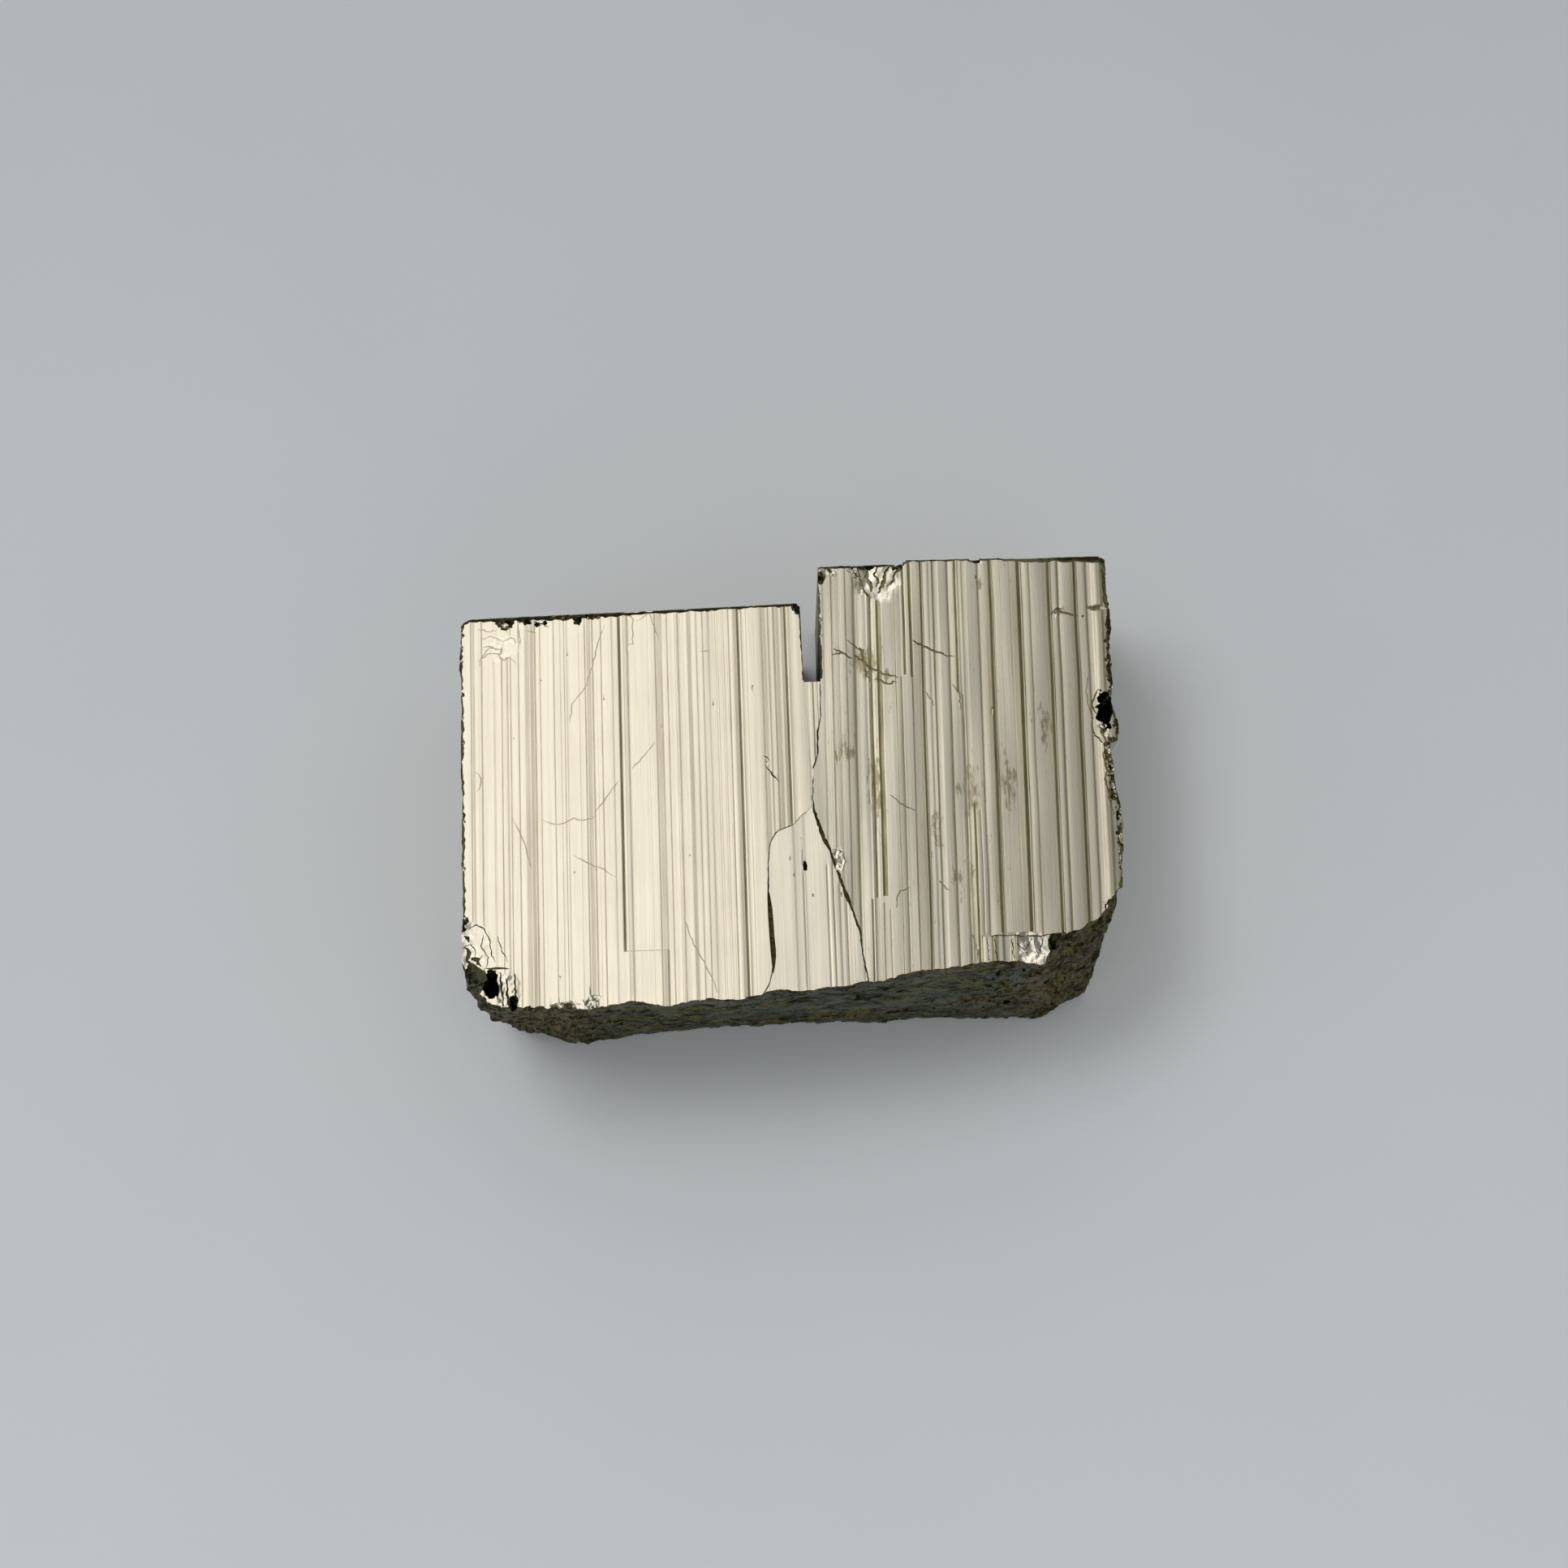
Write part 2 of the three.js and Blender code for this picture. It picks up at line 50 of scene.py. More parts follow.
# ---- Camera ---------------------------------------------------------------------------------------
# It looks almost straight down on the cluster from a little in front of it, and is turned slightly
# round the upright axis, so that it sees the cluster a little askew.
def add_camera():
    tilt = math.radians(13)
    turn = math.radians(-2)
    distance = 158
    aim = Vector((-0.5, 0, TOP))
    away = Vector((0, -math.sin(tilt), math.cos(tilt)))
    camera_data = bpy.data.cameras.new("camera")
    camera_data.lens = 60
    camera_data.sensor_width = 36
    camera_data.clip_start = 0.01
    camera_data.clip_end = 20
    camera = bpy.data.objects.new("camera", camera_data)
    bpy.context.scene.collection.objects.link(camera)
    pose = Matrix.Rotation(turn, 4, "Z") @ Matrix.Translation(away * distance * MM)
    pose = pose @ Matrix.Rotation(tilt, 4, "X")
    camera.matrix_world = Matrix.Translation(aim * MM) @ pose
    bpy.context.scene.camera = camera


add_camera()


# ---- Room -----------------------------------------------------------------------------------------
# A pale matt board under a soft sky: bright overhead and to the left, falling off to the right and the
# front, so that each flat of the crystals mirrors its own shade of it, and calmer near the ground.
def fed(tree, made, inputs):
    """Links each of these inputs of a node to a socket, or sets it to a value."""
    for name, value in inputs.items():
        if isinstance(value, bpy.types.NodeSocket):
            tree.links.new(value, made.inputs[name])
        else:
            made.inputs[name].default_value = value
    return made


def node(tree, kind, inputs, **settings):
    made = tree.nodes.new("ShaderNode" + kind)
    for name, value in settings.items():
        setattr(made, name, value)
    return fed(tree, made, inputs)


def ramp(tree, value, stops, interpolation="EASE"):
    made = node(tree, "ValToRGB", {"Fac": value})
    made.color_ramp.interpolation = interpolation
    elements = made.color_ramp.elements
    while len(elements) < len(stops):
        elements.new(0.5)
    for element, (position, colour) in zip(elements, stops):
        element.position = position
        element.color = (*colour, 1) if isinstance(colour, tuple) else (colour, colour, colour, 1)
    return made.outputs["Color"]


def maths(tree, operation, *values):
    return node(tree, "Math", dict(enumerate(values)), operation=operation).outputs["Value"]


# How bright the sky is: overhead from left to right, from front to back and by height, and near the ground
# from left to right. The last says how high the ground's share reaches.
OVER_ACROSS = [
    (0.0, 0.3), (0.2, 0.5), (0.36, 0.9), (0.42, 1.02), (0.475, 1.04), (0.5, 0.82), (0.525, 0.54),
    (0.545, 0.38), (0.57, 0.26), (0.6, 0.18), (0.64, 0.14), (0.75, 0.22), (1.0, 0.3),
]
OVER_ALONG = [(0.0, 0.5), (0.35, 0.8), (0.52, 1.0), (0.59, 1.0), (0.66, 0.94), (0.72, 1.5), (0.85, 1.5),
              (1.0, 0.6)]
OVER_HEIGHT = [(0.0, 0.28), (0.3, 0.36), (0.6, 0.6), (0.88, 1.0)]
GROUND_ACROSS = [(0.0, 0.72), (0.14, 0.3), (0.32, 0.36), (0.55, 0.46), (0.72, 0.3), (0.86, 0.34),
                 (1.0, 0.66)]
GROUND_HEIGHT = [(0.15, 1.0), (0.6, 0.0)]
# How strongly the metal mirrors it, its light on the board, and its colour beyond the board.
IN_METAL = 1.22
ON_BOARD = (0.44, 0.44, 0.44, 1)
BEYOND = (0.49, 0.52, 0.54, 1)


def soft_sky():
    world = bpy.data.worlds.new("soft sky")
    bpy.context.scene.world = world
    world.use_nodes = True
    tree = world.node_tree
    tree.nodes.clear()
    direction = node(tree, "TexCoord", {}).outputs["Generated"]
    parts = node(tree, "SeparateXYZ", {"Vector": direction}).outputs
    across = maths(tree, "MULTIPLY_ADD", parts["X"], 0.5, 0.5)
    along = maths(tree, "MULTIPLY_ADD", parts["Y"], 0.5, 0.5)
    side = ramp(tree, across, OVER_ACROSS, "LINEAR")
    depth = ramp(tree, along, OVER_ALONG, "LINEAR")
    height = ramp(tree, parts["Z"], OVER_HEIGHT, "LINEAR")
    overhead = maths(tree, "MULTIPLY", maths(tree, "MULTIPLY", side, depth), height)
    near_ground = ramp(tree, parts["Z"], GROUND_HEIGHT, "LINEAR")
    low = ramp(tree, across, GROUND_ACROSS)
    sky = maths(tree, "MULTIPLY_ADD", maths(tree, "SUBTRACT", low, overhead), near_ground, overhead)
    in_metal = node(tree, "Background", {"Color": sky, "Strength": IN_METAL}).outputs["Background"]
    on_board = node(tree, "Background", {"Color": ON_BOARD}).outputs["Background"]
    seen = node(tree, "Background", {"Color": BEYOND}).outputs["Background"]
    ray = node(tree, "LightPath", {}).outputs
    lit = node(tree, "MixShader", {"Fac": ray["Is Diffuse Ray"], 1: in_metal, 2: on_board}).outputs["Shader"]
    either = node(tree, "MixShader", {"Fac": ray["Is Camera Ray"], 1: lit, 2: seen}).outputs["Shader"]
    node(tree, "OutputWorld", {"Surface": either})


def add_window():
    data = bpy.data.lights.new("window", "AREA")
    data.shape = "RECTANGLE"
    data.size = 0.30
    data.size_y = 0.22
    data.energy = 1.25
    data.color = (1.0, 0.99, 0.97)
    lamp = bpy.data.objects.new("window", data)
    bpy.context.scene.collection.objects.link(lamp)
    lamp.location = (-0.27, 0.2, 0.62)
    lamp.visible_glossy = False
    lamp.rotation_euler = (-lamp.location).to_track_quat("-Z", "Y").to_euler()


def add_board():
    bpy.ops.object.select_all(action="DESELECT")
    bpy.ops.mesh.primitive_plane_add(size=3)
    board = bpy.context.object
    board.name = "board"
    matt = bpy.data.materials.new("pale board")
    matt.use_nodes = True
    tree = matt.node_tree
    place = node(tree, "TexCoord", {}).outputs["Object"]
    mottle = node(tree, "TexNoise", {"Vector": place, "Scale": 60}).outputs["Fac"]
    parts = node(tree, "SeparateXYZ", {"Vector": place}).outputs
    # Painted light and shade: the board is painted lighter towards the front and darker towards the back.
    painted_light = maths(tree, "MULTIPLY_ADD", parts["Y"], -5, 0.45)
    painted_light = maths(tree, "MULTIPLY_ADD", mottle, 0.1, painted_light)
    tone = ramp(tree, painted_light, [(0.0, (0.59, 0.62, 0.645)), (1.0, (0.855, 0.885, 0.91))], "LINEAR")
    fed(tree, tree.nodes["Principled BSDF"], {"Base Color": tone, "Roughness": 0.75})
    board.data.materials.append(matt)


soft_sky()
add_window()
add_board()

# The light is shown as it is, without a film curve.
bpy.context.scene.view_settings.view_transform = "Standard"


# ---- Left crystal ---------------------------------------------------------------------------------
# The larger crystal: one broad growth face on top, ruled along Y by fine steps, with a striated back and
# left side. Clean pyrite mirrors like pale brass; the growth lines are painted darker, in brown tarnish
# together with painted shade of the steps.
def finish(name, light, dark, stretch, turn=0.0, rough=(0.16, 0.28), relief=0.004, spread=(0.3, 0.7),
           patches=0.25):
    """A streaked metal. Stretch is how many grains of its pattern go into a millimetre along X, Y and Z,
    relief is their height, spread the part of the pattern that goes from dark to light, and patches how
    cloudy it is."""
    made = bpy.data.materials.new(name)
    made.use_nodes = True
    tree = made.node_tree
    place = node(tree, "TexCoord", {}).outputs["Object"]
    grain = [per_mm / MM for per_mm in stretch]
    drawn_out = node(tree, "Mapping", {"Vector": place, "Rotation": (0, 0, turn), "Scale": grain})
    pattern = {"Vector": drawn_out.outputs["Vector"], "Scale": 1, "Detail": 5, "Roughness": 0.7}
    streaks = node(tree, "TexNoise", pattern).outputs["Fac"]
    clouds = node(tree, "TexNoise", {"Vector": place, "Scale": 0.45 / MM, "Detail": 4}).outputs["Fac"]
    share = maths(tree, "MULTIPLY_ADD", clouds, patches, streaks)
    share = maths(tree, "SUBTRACT", share, patches / 2)
    tone = ramp(tree, share, [(spread[0], dark), (spread[1], light)])
    limits = {"From Min": 0.25, "From Max": 0.75, "To Min": rough[1], "To Max": rough[0]}
    dulled = node(tree, "MapRange", {"Value": share, **limits}).outputs["Result"]
    bump = node(tree, "Bump", {"Height": streaks, "Distance": relief * MM}).outputs["Normal"]
    look = {"Metallic": 1.0, "Base Color": tone, "Roughness": dulled, "Normal": bump}
    fed(tree, tree.nodes["Principled BSDF"], look)
    return made


left_top_finish = finish("left crystal top", (0.80, 0.735, 0.59), (0.74, 0.675, 0.53), (5, 0.1, 5),
                         rough=(0.12, 0.22), relief=0.002)
back_finish = finish("crystal back", (0.71, 0.645, 0.495), (0.6, 0.535, 0.395), (0.12, 6, 6),
                     rough=(0.07, 0.17))
side_finish = finish("crystal side", (0.71, 0.645, 0.495), (0.6, 0.535, 0.395), (6, 6, 0.12),
                     rough=(0.07, 0.17))
# Growth lines and bands: brown tarnish together with painted shade where the steps and grooves fall away.
shaded_line_finish = finish("tarnished line with painted shade", (0.64, 0.56, 0.41), (0.52, 0.445, 0.31), (3, 0.4, 3),
                     rough=(0.26, 0.4))
shaded_band_finish = finish("dulled band with painted shade", (0.71, 0.64, 0.505), (0.61, 0.54, 0.415), (7, 0.15, 7),
                     rough=(0.2, 0.34))
shaded_deep_finish = finish("deep line", (0.33, 0.28, 0.16), (0.24, 0.195, 0.10), (3, 0.4, 3), rough=(0.3, 0.45))
wall_finish = finish("grown-over wall", (0.30, 0.26, 0.15), (0.12, 0.10, 0.05), (3, 3, 3), rough=(0.4, 0.6))
# The place of each finish on a growth face; the clean metal there is the face's own.
CLEAN, LINE, BAND, DEEP = range(4)


def settled():
    if bpy.context.object and bpy.context.object.mode != "OBJECT":
        bpy.ops.object.mode_set(mode="OBJECT")
    bpy.ops.object.select_all(action="DESELECT")


def all_edited():
    bpy.ops.object.mode_set(mode="EDIT")
    bpy.ops.mesh.select_all(action="SELECT")


def finished_edit():
    """Turns every face of what is being edited outwards, and leaves edit mode."""
    bpy.ops.mesh.select_all(action="SELECT")
    bpy.ops.mesh.normals_make_consistent(inside=False)
    settled()


def closed_off(sheet, rise, height):
    """Closes a sheet into a solid, drawn out up or down by the rise to a flat far side at this height."""
    settled()
    bpy.context.view_layer.objects.active = sheet
    sheet.select_set(True)
    all_edited()
    bpy.ops.mesh.extrude_region_move(TRANSFORM_OT_translate={"value": (0, 0, rise)})
    bpy.ops.transform.resize(value=(1, 1, 0), center_override=(0, 0, height))
    finished_edit()


def dressed(piece, finishes):
    for one in finishes:
        piece.data.materials.append(one)


def strewn(span, count, widths, drops, slots, seed):
    """Fine growth steps strewn over a face: each is (place, width, drop, slot)."""
    draw = random.Random(seed)
    made = []
    for _ in range(count):
        width = draw.uniform(*widths)
        drop = draw.uniform(*drops) * draw.choice((-1, 1))
        made.append((draw.uniform(*span), width, drop, draw.choice(slots)))
    return made


def apart(steps):
    """The steps that don't run into one another; the ones named first are kept."""
    gap = 0.01
    kept = []
    for step in steps:
        if all(step[0] > other[0] + other[1] + gap or step[0] + step[1] + gap < other[0] for other in kept):
            kept.append(step)
    return sorted(kept)


# How far in from its ends a groove or a panel fades out.
FADE = 0.06


def within(place, start, end, fade=FADE):
    """1 between start and end, and 0 outside them."""
    return max(0.0, min(1.0, (place - start) / fade, (end - place) / fade))


def spaced(places, least):
    """The places in order, without those that come too soon after the one before."""
    kept = []
    for place in sorted(places):
        if not kept or place - kept[-1] > least:
            kept.append(place)
    return kept


def growth_face(name, span, run, steps, grooves=(), panels=(), spacing=0.6, tilt=0.4, sway=None,
                contour=None, waves=0.008, ribs=(0, 0), crown=(0, 0), seed=1):
    """A sheet ruled along Y with growth lines, facing up: the upper side of what will be a solid.

    Steps are (place, width, drop, slot), grooves (place, width, depth, slot, start, end) and panels, which
    lie a little lower, (first, last, depth, start, end). Between them it wavers by the tilt, in degrees. It
    is crowned between one rib's place and the next, by so many degrees at the first rib and at the last."""
    draw = random.Random(seed)
    grain = 0.12
    panel_edge = 0.16
    steps = apart(steps)
    firm = {*span}
    for place, width, *_ in steps:
        firm |= {place, place + width}
    for place, width, *_ in grooves:
        firm |= {place - width / 2, place - width / 6, place + width / 6, place + width / 2}
    for first, last, *_ in panels:
        firm |= {first, first + panel_edge, last - panel_edge, last}
    firm = spaced([x for x in firm if span[0] <= x <= span[1]], 0.01)
    fine = [x + draw.uniform(-0.3, 0.3) * grain for x in np.arange(span[0] + grain, span[1] - grain, grain)]
    columns = sorted(firm + [x for x in spaced(fine, 0.03) if min(abs(x - other) for other in firm) > 0.03])
    rows = set(np.arange(run[0], run[1], spacing)) | {run[1]}
    for *_, start, end in (*grooves, *panels):
        rows |= {start, start + FADE, end - FADE, end}
    rows = spaced([y for y in rows if run[0] <= y <= run[1]], 0.02)

    level = [0.0]
    slots = []
    for here, after in zip(columns, columns[1:]):
        middle = (here + after) / 2
        step = next((s for s in steps if s[0] < middle < s[0] + s[1]), None)
        rolling = noise.noise(Vector((0.7 * middle, seed, 0)))
        rolling += 0.6 * noise.noise(Vector((2.7 * middle, seed, 5)))
        slope = math.tan(math.radians(tilt * (rolling + 0.3 * draw.uniform(-1, 1))))
        rib = next(((a, b) for a, b in zip(ribs, ribs[1:]) if a <= middle < b), (middle, middle + 1))
        across = (middle - rib[0]) / (rib[1] - rib[0])
        lean = np.interp(middle, (ribs[0], ribs[-1]), crown) * (2 * across ** 1.4 - 0.85)
        slope += math.tan(math.radians(lean))
        fall = step[2] / step[1] + 0.5 * slope if step else slope
        level.append(level[-1] - fall * (after - here))
        slots.append(step[3] if step else CLEAN)
    level = np.array(level)
    nearby = [np.interp(np.array(columns) + away, columns, level) for away in np.linspace(-2.5, 2.5, 21)]
    level -= np.mean(nearby, axis=0)

    bpy.ops.mesh.primitive_grid_add(x_subdivisions=len(columns) - 1, y_subdivisions=len(rows) - 1, size=2)
    sheet = bpy.context.object
    sheet.name = name
    for vertex in sheet.data.vertices:
        column = round((vertex.co.x + 1) / 2 * (len(columns) - 1))
        row = round((vertex.co.y + 1) / 2 * (len(rows) - 1))
        x, y = columns[column], rows[row]
        z = level[column] + waves * noise.noise(Vector((0.7 * x, 0.12 * y, seed)))
        for place, width, depth, _, start, end in grooves:
            across = max(0.0, min(1.0, (width / 2 - abs(x - place)) / (width / 3)))
            z -= depth * across * within(y, start, end)
        for first, final, depth, start, end in panels:
            z -= depth * within(x, first, final, panel_edge) * within(y, start, end)
        if contour:
            z += np.interp(x, *zip(*contour))
        shift = sway(x, y) if sway else 0.0
        vertex.co = (x + shift, y, z)
    for face in sheet.data.polygons:
        column = min(face.vertices) % len(columns)
        row = min(face.vertices) // len(columns)
        slot = slots[min(column, len(slots) - 1)]
        x = (columns[column] + columns[column + 1]) / 2
        y = (rows[row] + rows[row + 1]) / 2
        for first, final, _, start, end in panels:
            if first < x < final and start < y < end:
                at_head = x - first < 0.13 or y - start < FADE
                slot = LINE if at_head else BAND if final - x < panel_edge else slot
        for place, width, _, worn, start, end in grooves:
            if abs(x - place) < width / 2 and start < y < end:
                slot = worn
        face.material_index = slot
    return sheet


def made_thick(sheet, thick, finishes):
    """Closes a growth face downwards, and gives it its finishes, the first of them for the clean metal."""
    dressed(sheet, finishes)
    closed_off(sheet, -thick, -thick)


def laid(piece, across, along, out, place):
    """Turns a piece modelled lying flat so that its X, Y and Z run across, along and out."""
    axes = Matrix((across, along, out)).transposed().to_4x4()
    piece.data.transform(Matrix.Translation(place) @ axes)


def side_face(name, span, run, steps, thick, metal, across, along, out, place, **shape):
    """A striated face that stands upright, on a block that reaches right through its crystal."""
    face = growth_face(name, span, run, steps, spacing=0.9, **shape)
    made_thick(face, thick, (metal, shaded_line_finish, shaded_band_finish))
    laid(face, across, along, out, Vector(place))
    return face


def prism(name, outline, low, high, material):
    """An outline in plan, drawn upwards from one height to another."""
    bpy.ops.mesh.primitive_circle_add(vertices=len(outline), radius=1, fill_type="NGON")
    made = bpy.context.object
    made.name = name
    for vertex, (x, y) in zip(made.data.vertices, outline):
        vertex.co = (x, y, low)
    made.data.materials.append(material)
    all_edited()
    bpy.ops.mesh.extrude_region_move(TRANSFORM_OT_translate={"value": (0, 0, high - low)})
    finished_edit()
    return made


def combined(body, others, operation):
    """Joins solids to a body, cuts them out of it or keeps what they share, and clears them away."""
    group = bpy.data.collections.new("others")
    bpy.context.scene.collection.children.link(group)
    for other in others:
        for holder in list(other.users_collection):
            holder.objects.unlink(other)
        group.objects.link(other)
    settled()
    bpy.context.view_layer.objects.active = body
    body.select_set(True)
    tool = body.modifiers.new("combined", "BOOLEAN")
    tool.operation = operation
    tool.solver = "MANIFOLD"
    tool.operand_type = "COLLECTION"
    tool.collection = group
    tool.material_mode = "TRANSFER"
    bpy.ops.object.modifier_apply(modifier=tool.name)
    for other in others:
        bpy.data.meshes.remove(other.data)
    bpy.data.collections.remove(group)
    settled()
    return body


X, Y, Z = Vector((1, 0, 0)), Vector((0, 1, 0)), Vector((0, 0, 1))

left_seam = [
    (0.84, 13), (0.91, 6.46), (1.18, 0.24), (1.16, -1.4), (-0.1, -2.57), (-1.1, -2.95), (-1.5, -3.6),
    (-1.64, -4.67), (-1.7, -6.65), (-1.6, -10.6), (-2.2, -16),
]

# Growth lines of the top, from left to right: place, width, drop to the right, and finish.
left_steps = [
    (-19.4, 0.08, 0.006, LINE), (-19.28, 0.14, 0.006, BAND), (-18.76, 0.1, 0.006, LINE),
    (-17.53, 0.08, 0.005, LINE), (-16.99, 0.07, 0.004, LINE), (-16.5, 0.08, 0.006, LINE),
    (-16.1, 0.3, 0.008, BAND), (-15.76, 0.22, 0.012, BAND), (-15.5, 0.09, 0.010, LINE),
    (-15.18, 0.06, 0.004, LINE), (-14.34, 0.06, 0.004, LINE), (-13.7, 0.05, 0.003, LINE),
    (-12.44, 0.08, 0.003, LINE), (-12.3, 0.26, 0.005, BAND), (-11.98, 0.09, 0.005, LINE),
    (-9.84, 0.08, 0.008, LINE), (-8.13, 0.06, 0.005, LINE), (-8.0, 0.16, 0.006, BAND),
    (-7.79, 0.11, 0.012, LINE), (-6.74, 0.08, 0.004, LINE), (-6.14, 0.24, 0.006, BAND),
    (-4.86, 0.08, 0.003, BAND), (-3.62, 0.08, 0.004, LINE), (-3.28, 0.16, 0.010, BAND),
    (-2.85, 0.1, 0.004, BAND), (-1.62, 0.1, 0.006, LINE), (-1.48, 0.16, 0.008, BAND),
    (-1.18, 0.06, 0.005, LINE), (-0.86, 0.1, 0.009, LINE), (-0.72, 0.22, 0.008, BAND),
    (-0.36, 0.16, 0.008, BAND), (0.04, 0.12, 0.006, BAND),
]
left_grooves = [
    (-10.27, 0.13, 0.010, DEEP, -9.9, 13), (-3.0, 0.14, 0.010, DEEP, -15, 13),
    (-0.09, 0.13, 0.010, DEEP, -2.5, 13),
]
left_panels = [(-10.4, -7.68, 0.010, -9.92, 13)]
left_ribs = (-20, -19.3, -18.7, -16.5, -15.5, -12.1, -10.3, -7.7, -5.9, -2.95, -1.5, -0.8, -0.1, 1)
left_fine = strewn((-20, 2), 60, (0.03, 0.08), (0.001, 0.004), (CLEAN, BAND, BAND, LINE), 11)
left_top = growth_face("left_crystal", (-22, 3), (-16, 13), left_steps + left_fine, left_grooves,
                       left_panels, tilt=0.35, waves=0.006, ribs=left_ribs, crown=(0.3, 0.6), seed=3)
made_thick(left_top, 16, (left_top_finish, shaded_line_finish, shaded_band_finish, shaded_deep_finish))
laid(left_top, X, Y, Z, Vector((0, 0, TOP)))

back_turn = Matrix.Rotation(math.radians(1.0), 3, "Z")
left_back_steps = strewn((0.3, 15), 60, (0.05, 0.2), (0.01, 0.07), (CLEAN, CLEAN, BAND, LINE), 12)
left_back = side_face("left back", (-2, 17), (-3, 26), left_back_steps, 32, back_finish,
                      Z, back_turn @ X, back_turn @ Y, (-20, 11.0, 0), tilt=2.5, seed=4)

left_side_steps = strewn((-12, 16), 80, (0.05, 0.2), (0.01, 0.06), (CLEAN, CLEAN, BAND, LINE), 13)
left_side = side_face("left side", (-13, 17), (-2, 17), left_side_steps, 26, side_finish,
                      -Y, Z, -X, (-20, 0, 0), tilt=2.5, seed=5)

left_plan = [*left_seam, (-22, -16), (-22, 13)]
left_walls = prism("left walls", left_plan, 0, OVER_TOP, wall_finish)
left_crystal = combined(left_top, [left_back, left_side, left_walls], "INTERSECT")


# ---- Right crystal --------------------------------------------------------------------------------
# It stands further back and a little askew. Its top falls slightly to the right and is fluted more
# strongly, in rounded ridges that are painted olive beside each step, tarnish together with painted shade;
# its right side is crumbled.
right_turn = math.radians(-0.9)
right_top_finish = finish("right crystal top", (0.80, 0.74, 0.60), (0.70, 0.645, 0.51), (4, 0.12, 4),
                          right_turn, rough=(0.18, 0.3), relief=0.003)
# Olive bands and lines: tarnish together with painted shade beside the steps and grooves.
right_shaded_band_finish = finish("olive band", (0.66, 0.60, 0.45), (0.52, 0.46, 0.31), (6, 0.15, 6), right_turn,
                           rough=(0.24, 0.38))
right_shaded_line_finish = finish("olive line", (0.48, 0.435, 0.275), (0.32, 0.285, 0.155), (3, 0.4, 3), right_turn,
                           rough=(0.3, 0.45))
right_shaded_deep_finish = finish("deep olive line", (0.30, 0.27, 0.135), (0.18, 0.16, 0.065), (3, 0.4, 3),
                           right_turn, rough=(0.3, 0.45))
stain_finish = finish("olive stain", (0.34, 0.29, 0.16), (0.17, 0.145, 0.07), (4, 2, 4), rough=(0.35, 0.5))


def tarnished(metal, places):
    """Olive tarnish in specks drawn out along the lines, and thickest round each place, which is given as
    x, y, half width and half length."""
    colour = (0.34, 0.295, 0.175)
    grain = (3.8, 1.0, 3.8)
    share = 0.225
    tree = metal.node_tree
    shader = tree.nodes["Principled BSDF"]
    clean = shader.inputs["Base Color"].links[0].from_socket
    here = node(tree, "TexCoord", {}).outputs["Object"]
    gathered = 0.0
    for x, y, half_width, half_length in places:
        scale = (1 / (half_width * MM), 1 / (half_length * MM), 0)
        shift = (-x / half_width, -y / half_length, 0)
        around = node(tree, "Mapping", {"Vector": here, "Scale": scale, "Location": shift}).outputs["Vector"]
        away = node(tree, "VectorMath", {0: around}, operation="LENGTH").outputs["Value"]
        near = maths(tree, "SUBTRACT", 1.3, away)
        gathered = maths(tree, "MAXIMUM", near, gathered)
    scale = [per_mm / MM for per_mm in grain]
    drawn_out = node(tree, "Mapping", {"Vector": here, "Scale": scale}).outputs["Vector"]
    pattern = {"Vector": drawn_out, "Scale": 1, "Detail": 6, "Roughness": 0.65}
    specks = node(tree, "TexNoise", pattern).outputs["Fac"]
    amount = maths(tree, "MULTIPLY_ADD", maths(tree, "MINIMUM", gathered, 1.0), share, specks)
    cover = ramp(tree, amount, [(0.62, 0.0), (0.78, 0.9)])
    mixed = node(tree, "Mix", {"Factor": cover, "A": clean, "B": (*colour, 1)}, data_type="RGBA")
    fed(tree, shader, {"Base Color": mixed.outputs["Result"]})


tarnish_places = [
    (4.7, 7.6, 1.3, 1.2), (5.9, 6.5, 0.8, 0.5), (3.2, 2.2, 0.9, 1.2), (5.1, -0.6, 0.6, 3.0),
    (10.7, -0.6, 0.8, 2.4), (13.1, -0.4, 0.7, 2.2), (8.4, -3.2, 0.6, 1.6), (15.5, 3.0, 0.5, 1.6),
    (16.7, 10.3, 0.6, 0.4), (11.9, 12.2, 0.4, 0.6), (10.2, -6.2, 0.9, 1.2),
]
for metal in (right_top_finish, right_shaded_band_finish, right_shaded_line_finish):
    tarnished(metal, tarnish_places)

# The crack beside the seam crystal, from its head to the front: x, y and width.
crack_path = [
    (1.24, 0.24, 0.08), (1.2, -1.25, 0.08), (1.27, -1.75, 0.12), (1.62, -2.95, 0.2), (1.8, -3.5, 0.26),
    (2.1, -4.1, 0.12), (2.2, -4.4, 0.14), (2.5, -5.4, 0.14), (2.83, -6.5, 0.16), (3.04, -7.05, 0.2),
    (3.3, -7.8, 0.12), (3.72, -9.15, 0.1), (3.76, -9.9, 0.08), (3.88, -10.9, 0.07), (4.1, -12.2, 0.08),
    (4.3, -16, 0.08),
]
right_seam = [(2.08, 16), (1.95, 6.4), (1.9, 4.1), (1.66, 3.3), (1.6, 1.7)]
right_seam += [(x, y) for x, y, _ in crack_path]


def strong_line(place, width, drop):
    """A deep step with its edges dulled and painted darker, tarnish together with painted shade, more widely
    on the side that it falls from.
    """
    return [
        (place - 1.6 * width, 1.05 * width, 0.08 * drop, BAND),
        (place - 0.5 * width, 0.46 * width, 0.4 * drop, LINE),
        (place, width, drop, DEEP),
        (place + 1.4 * width, 0.3 * width, 0.1 * drop, DEEP),
    ]


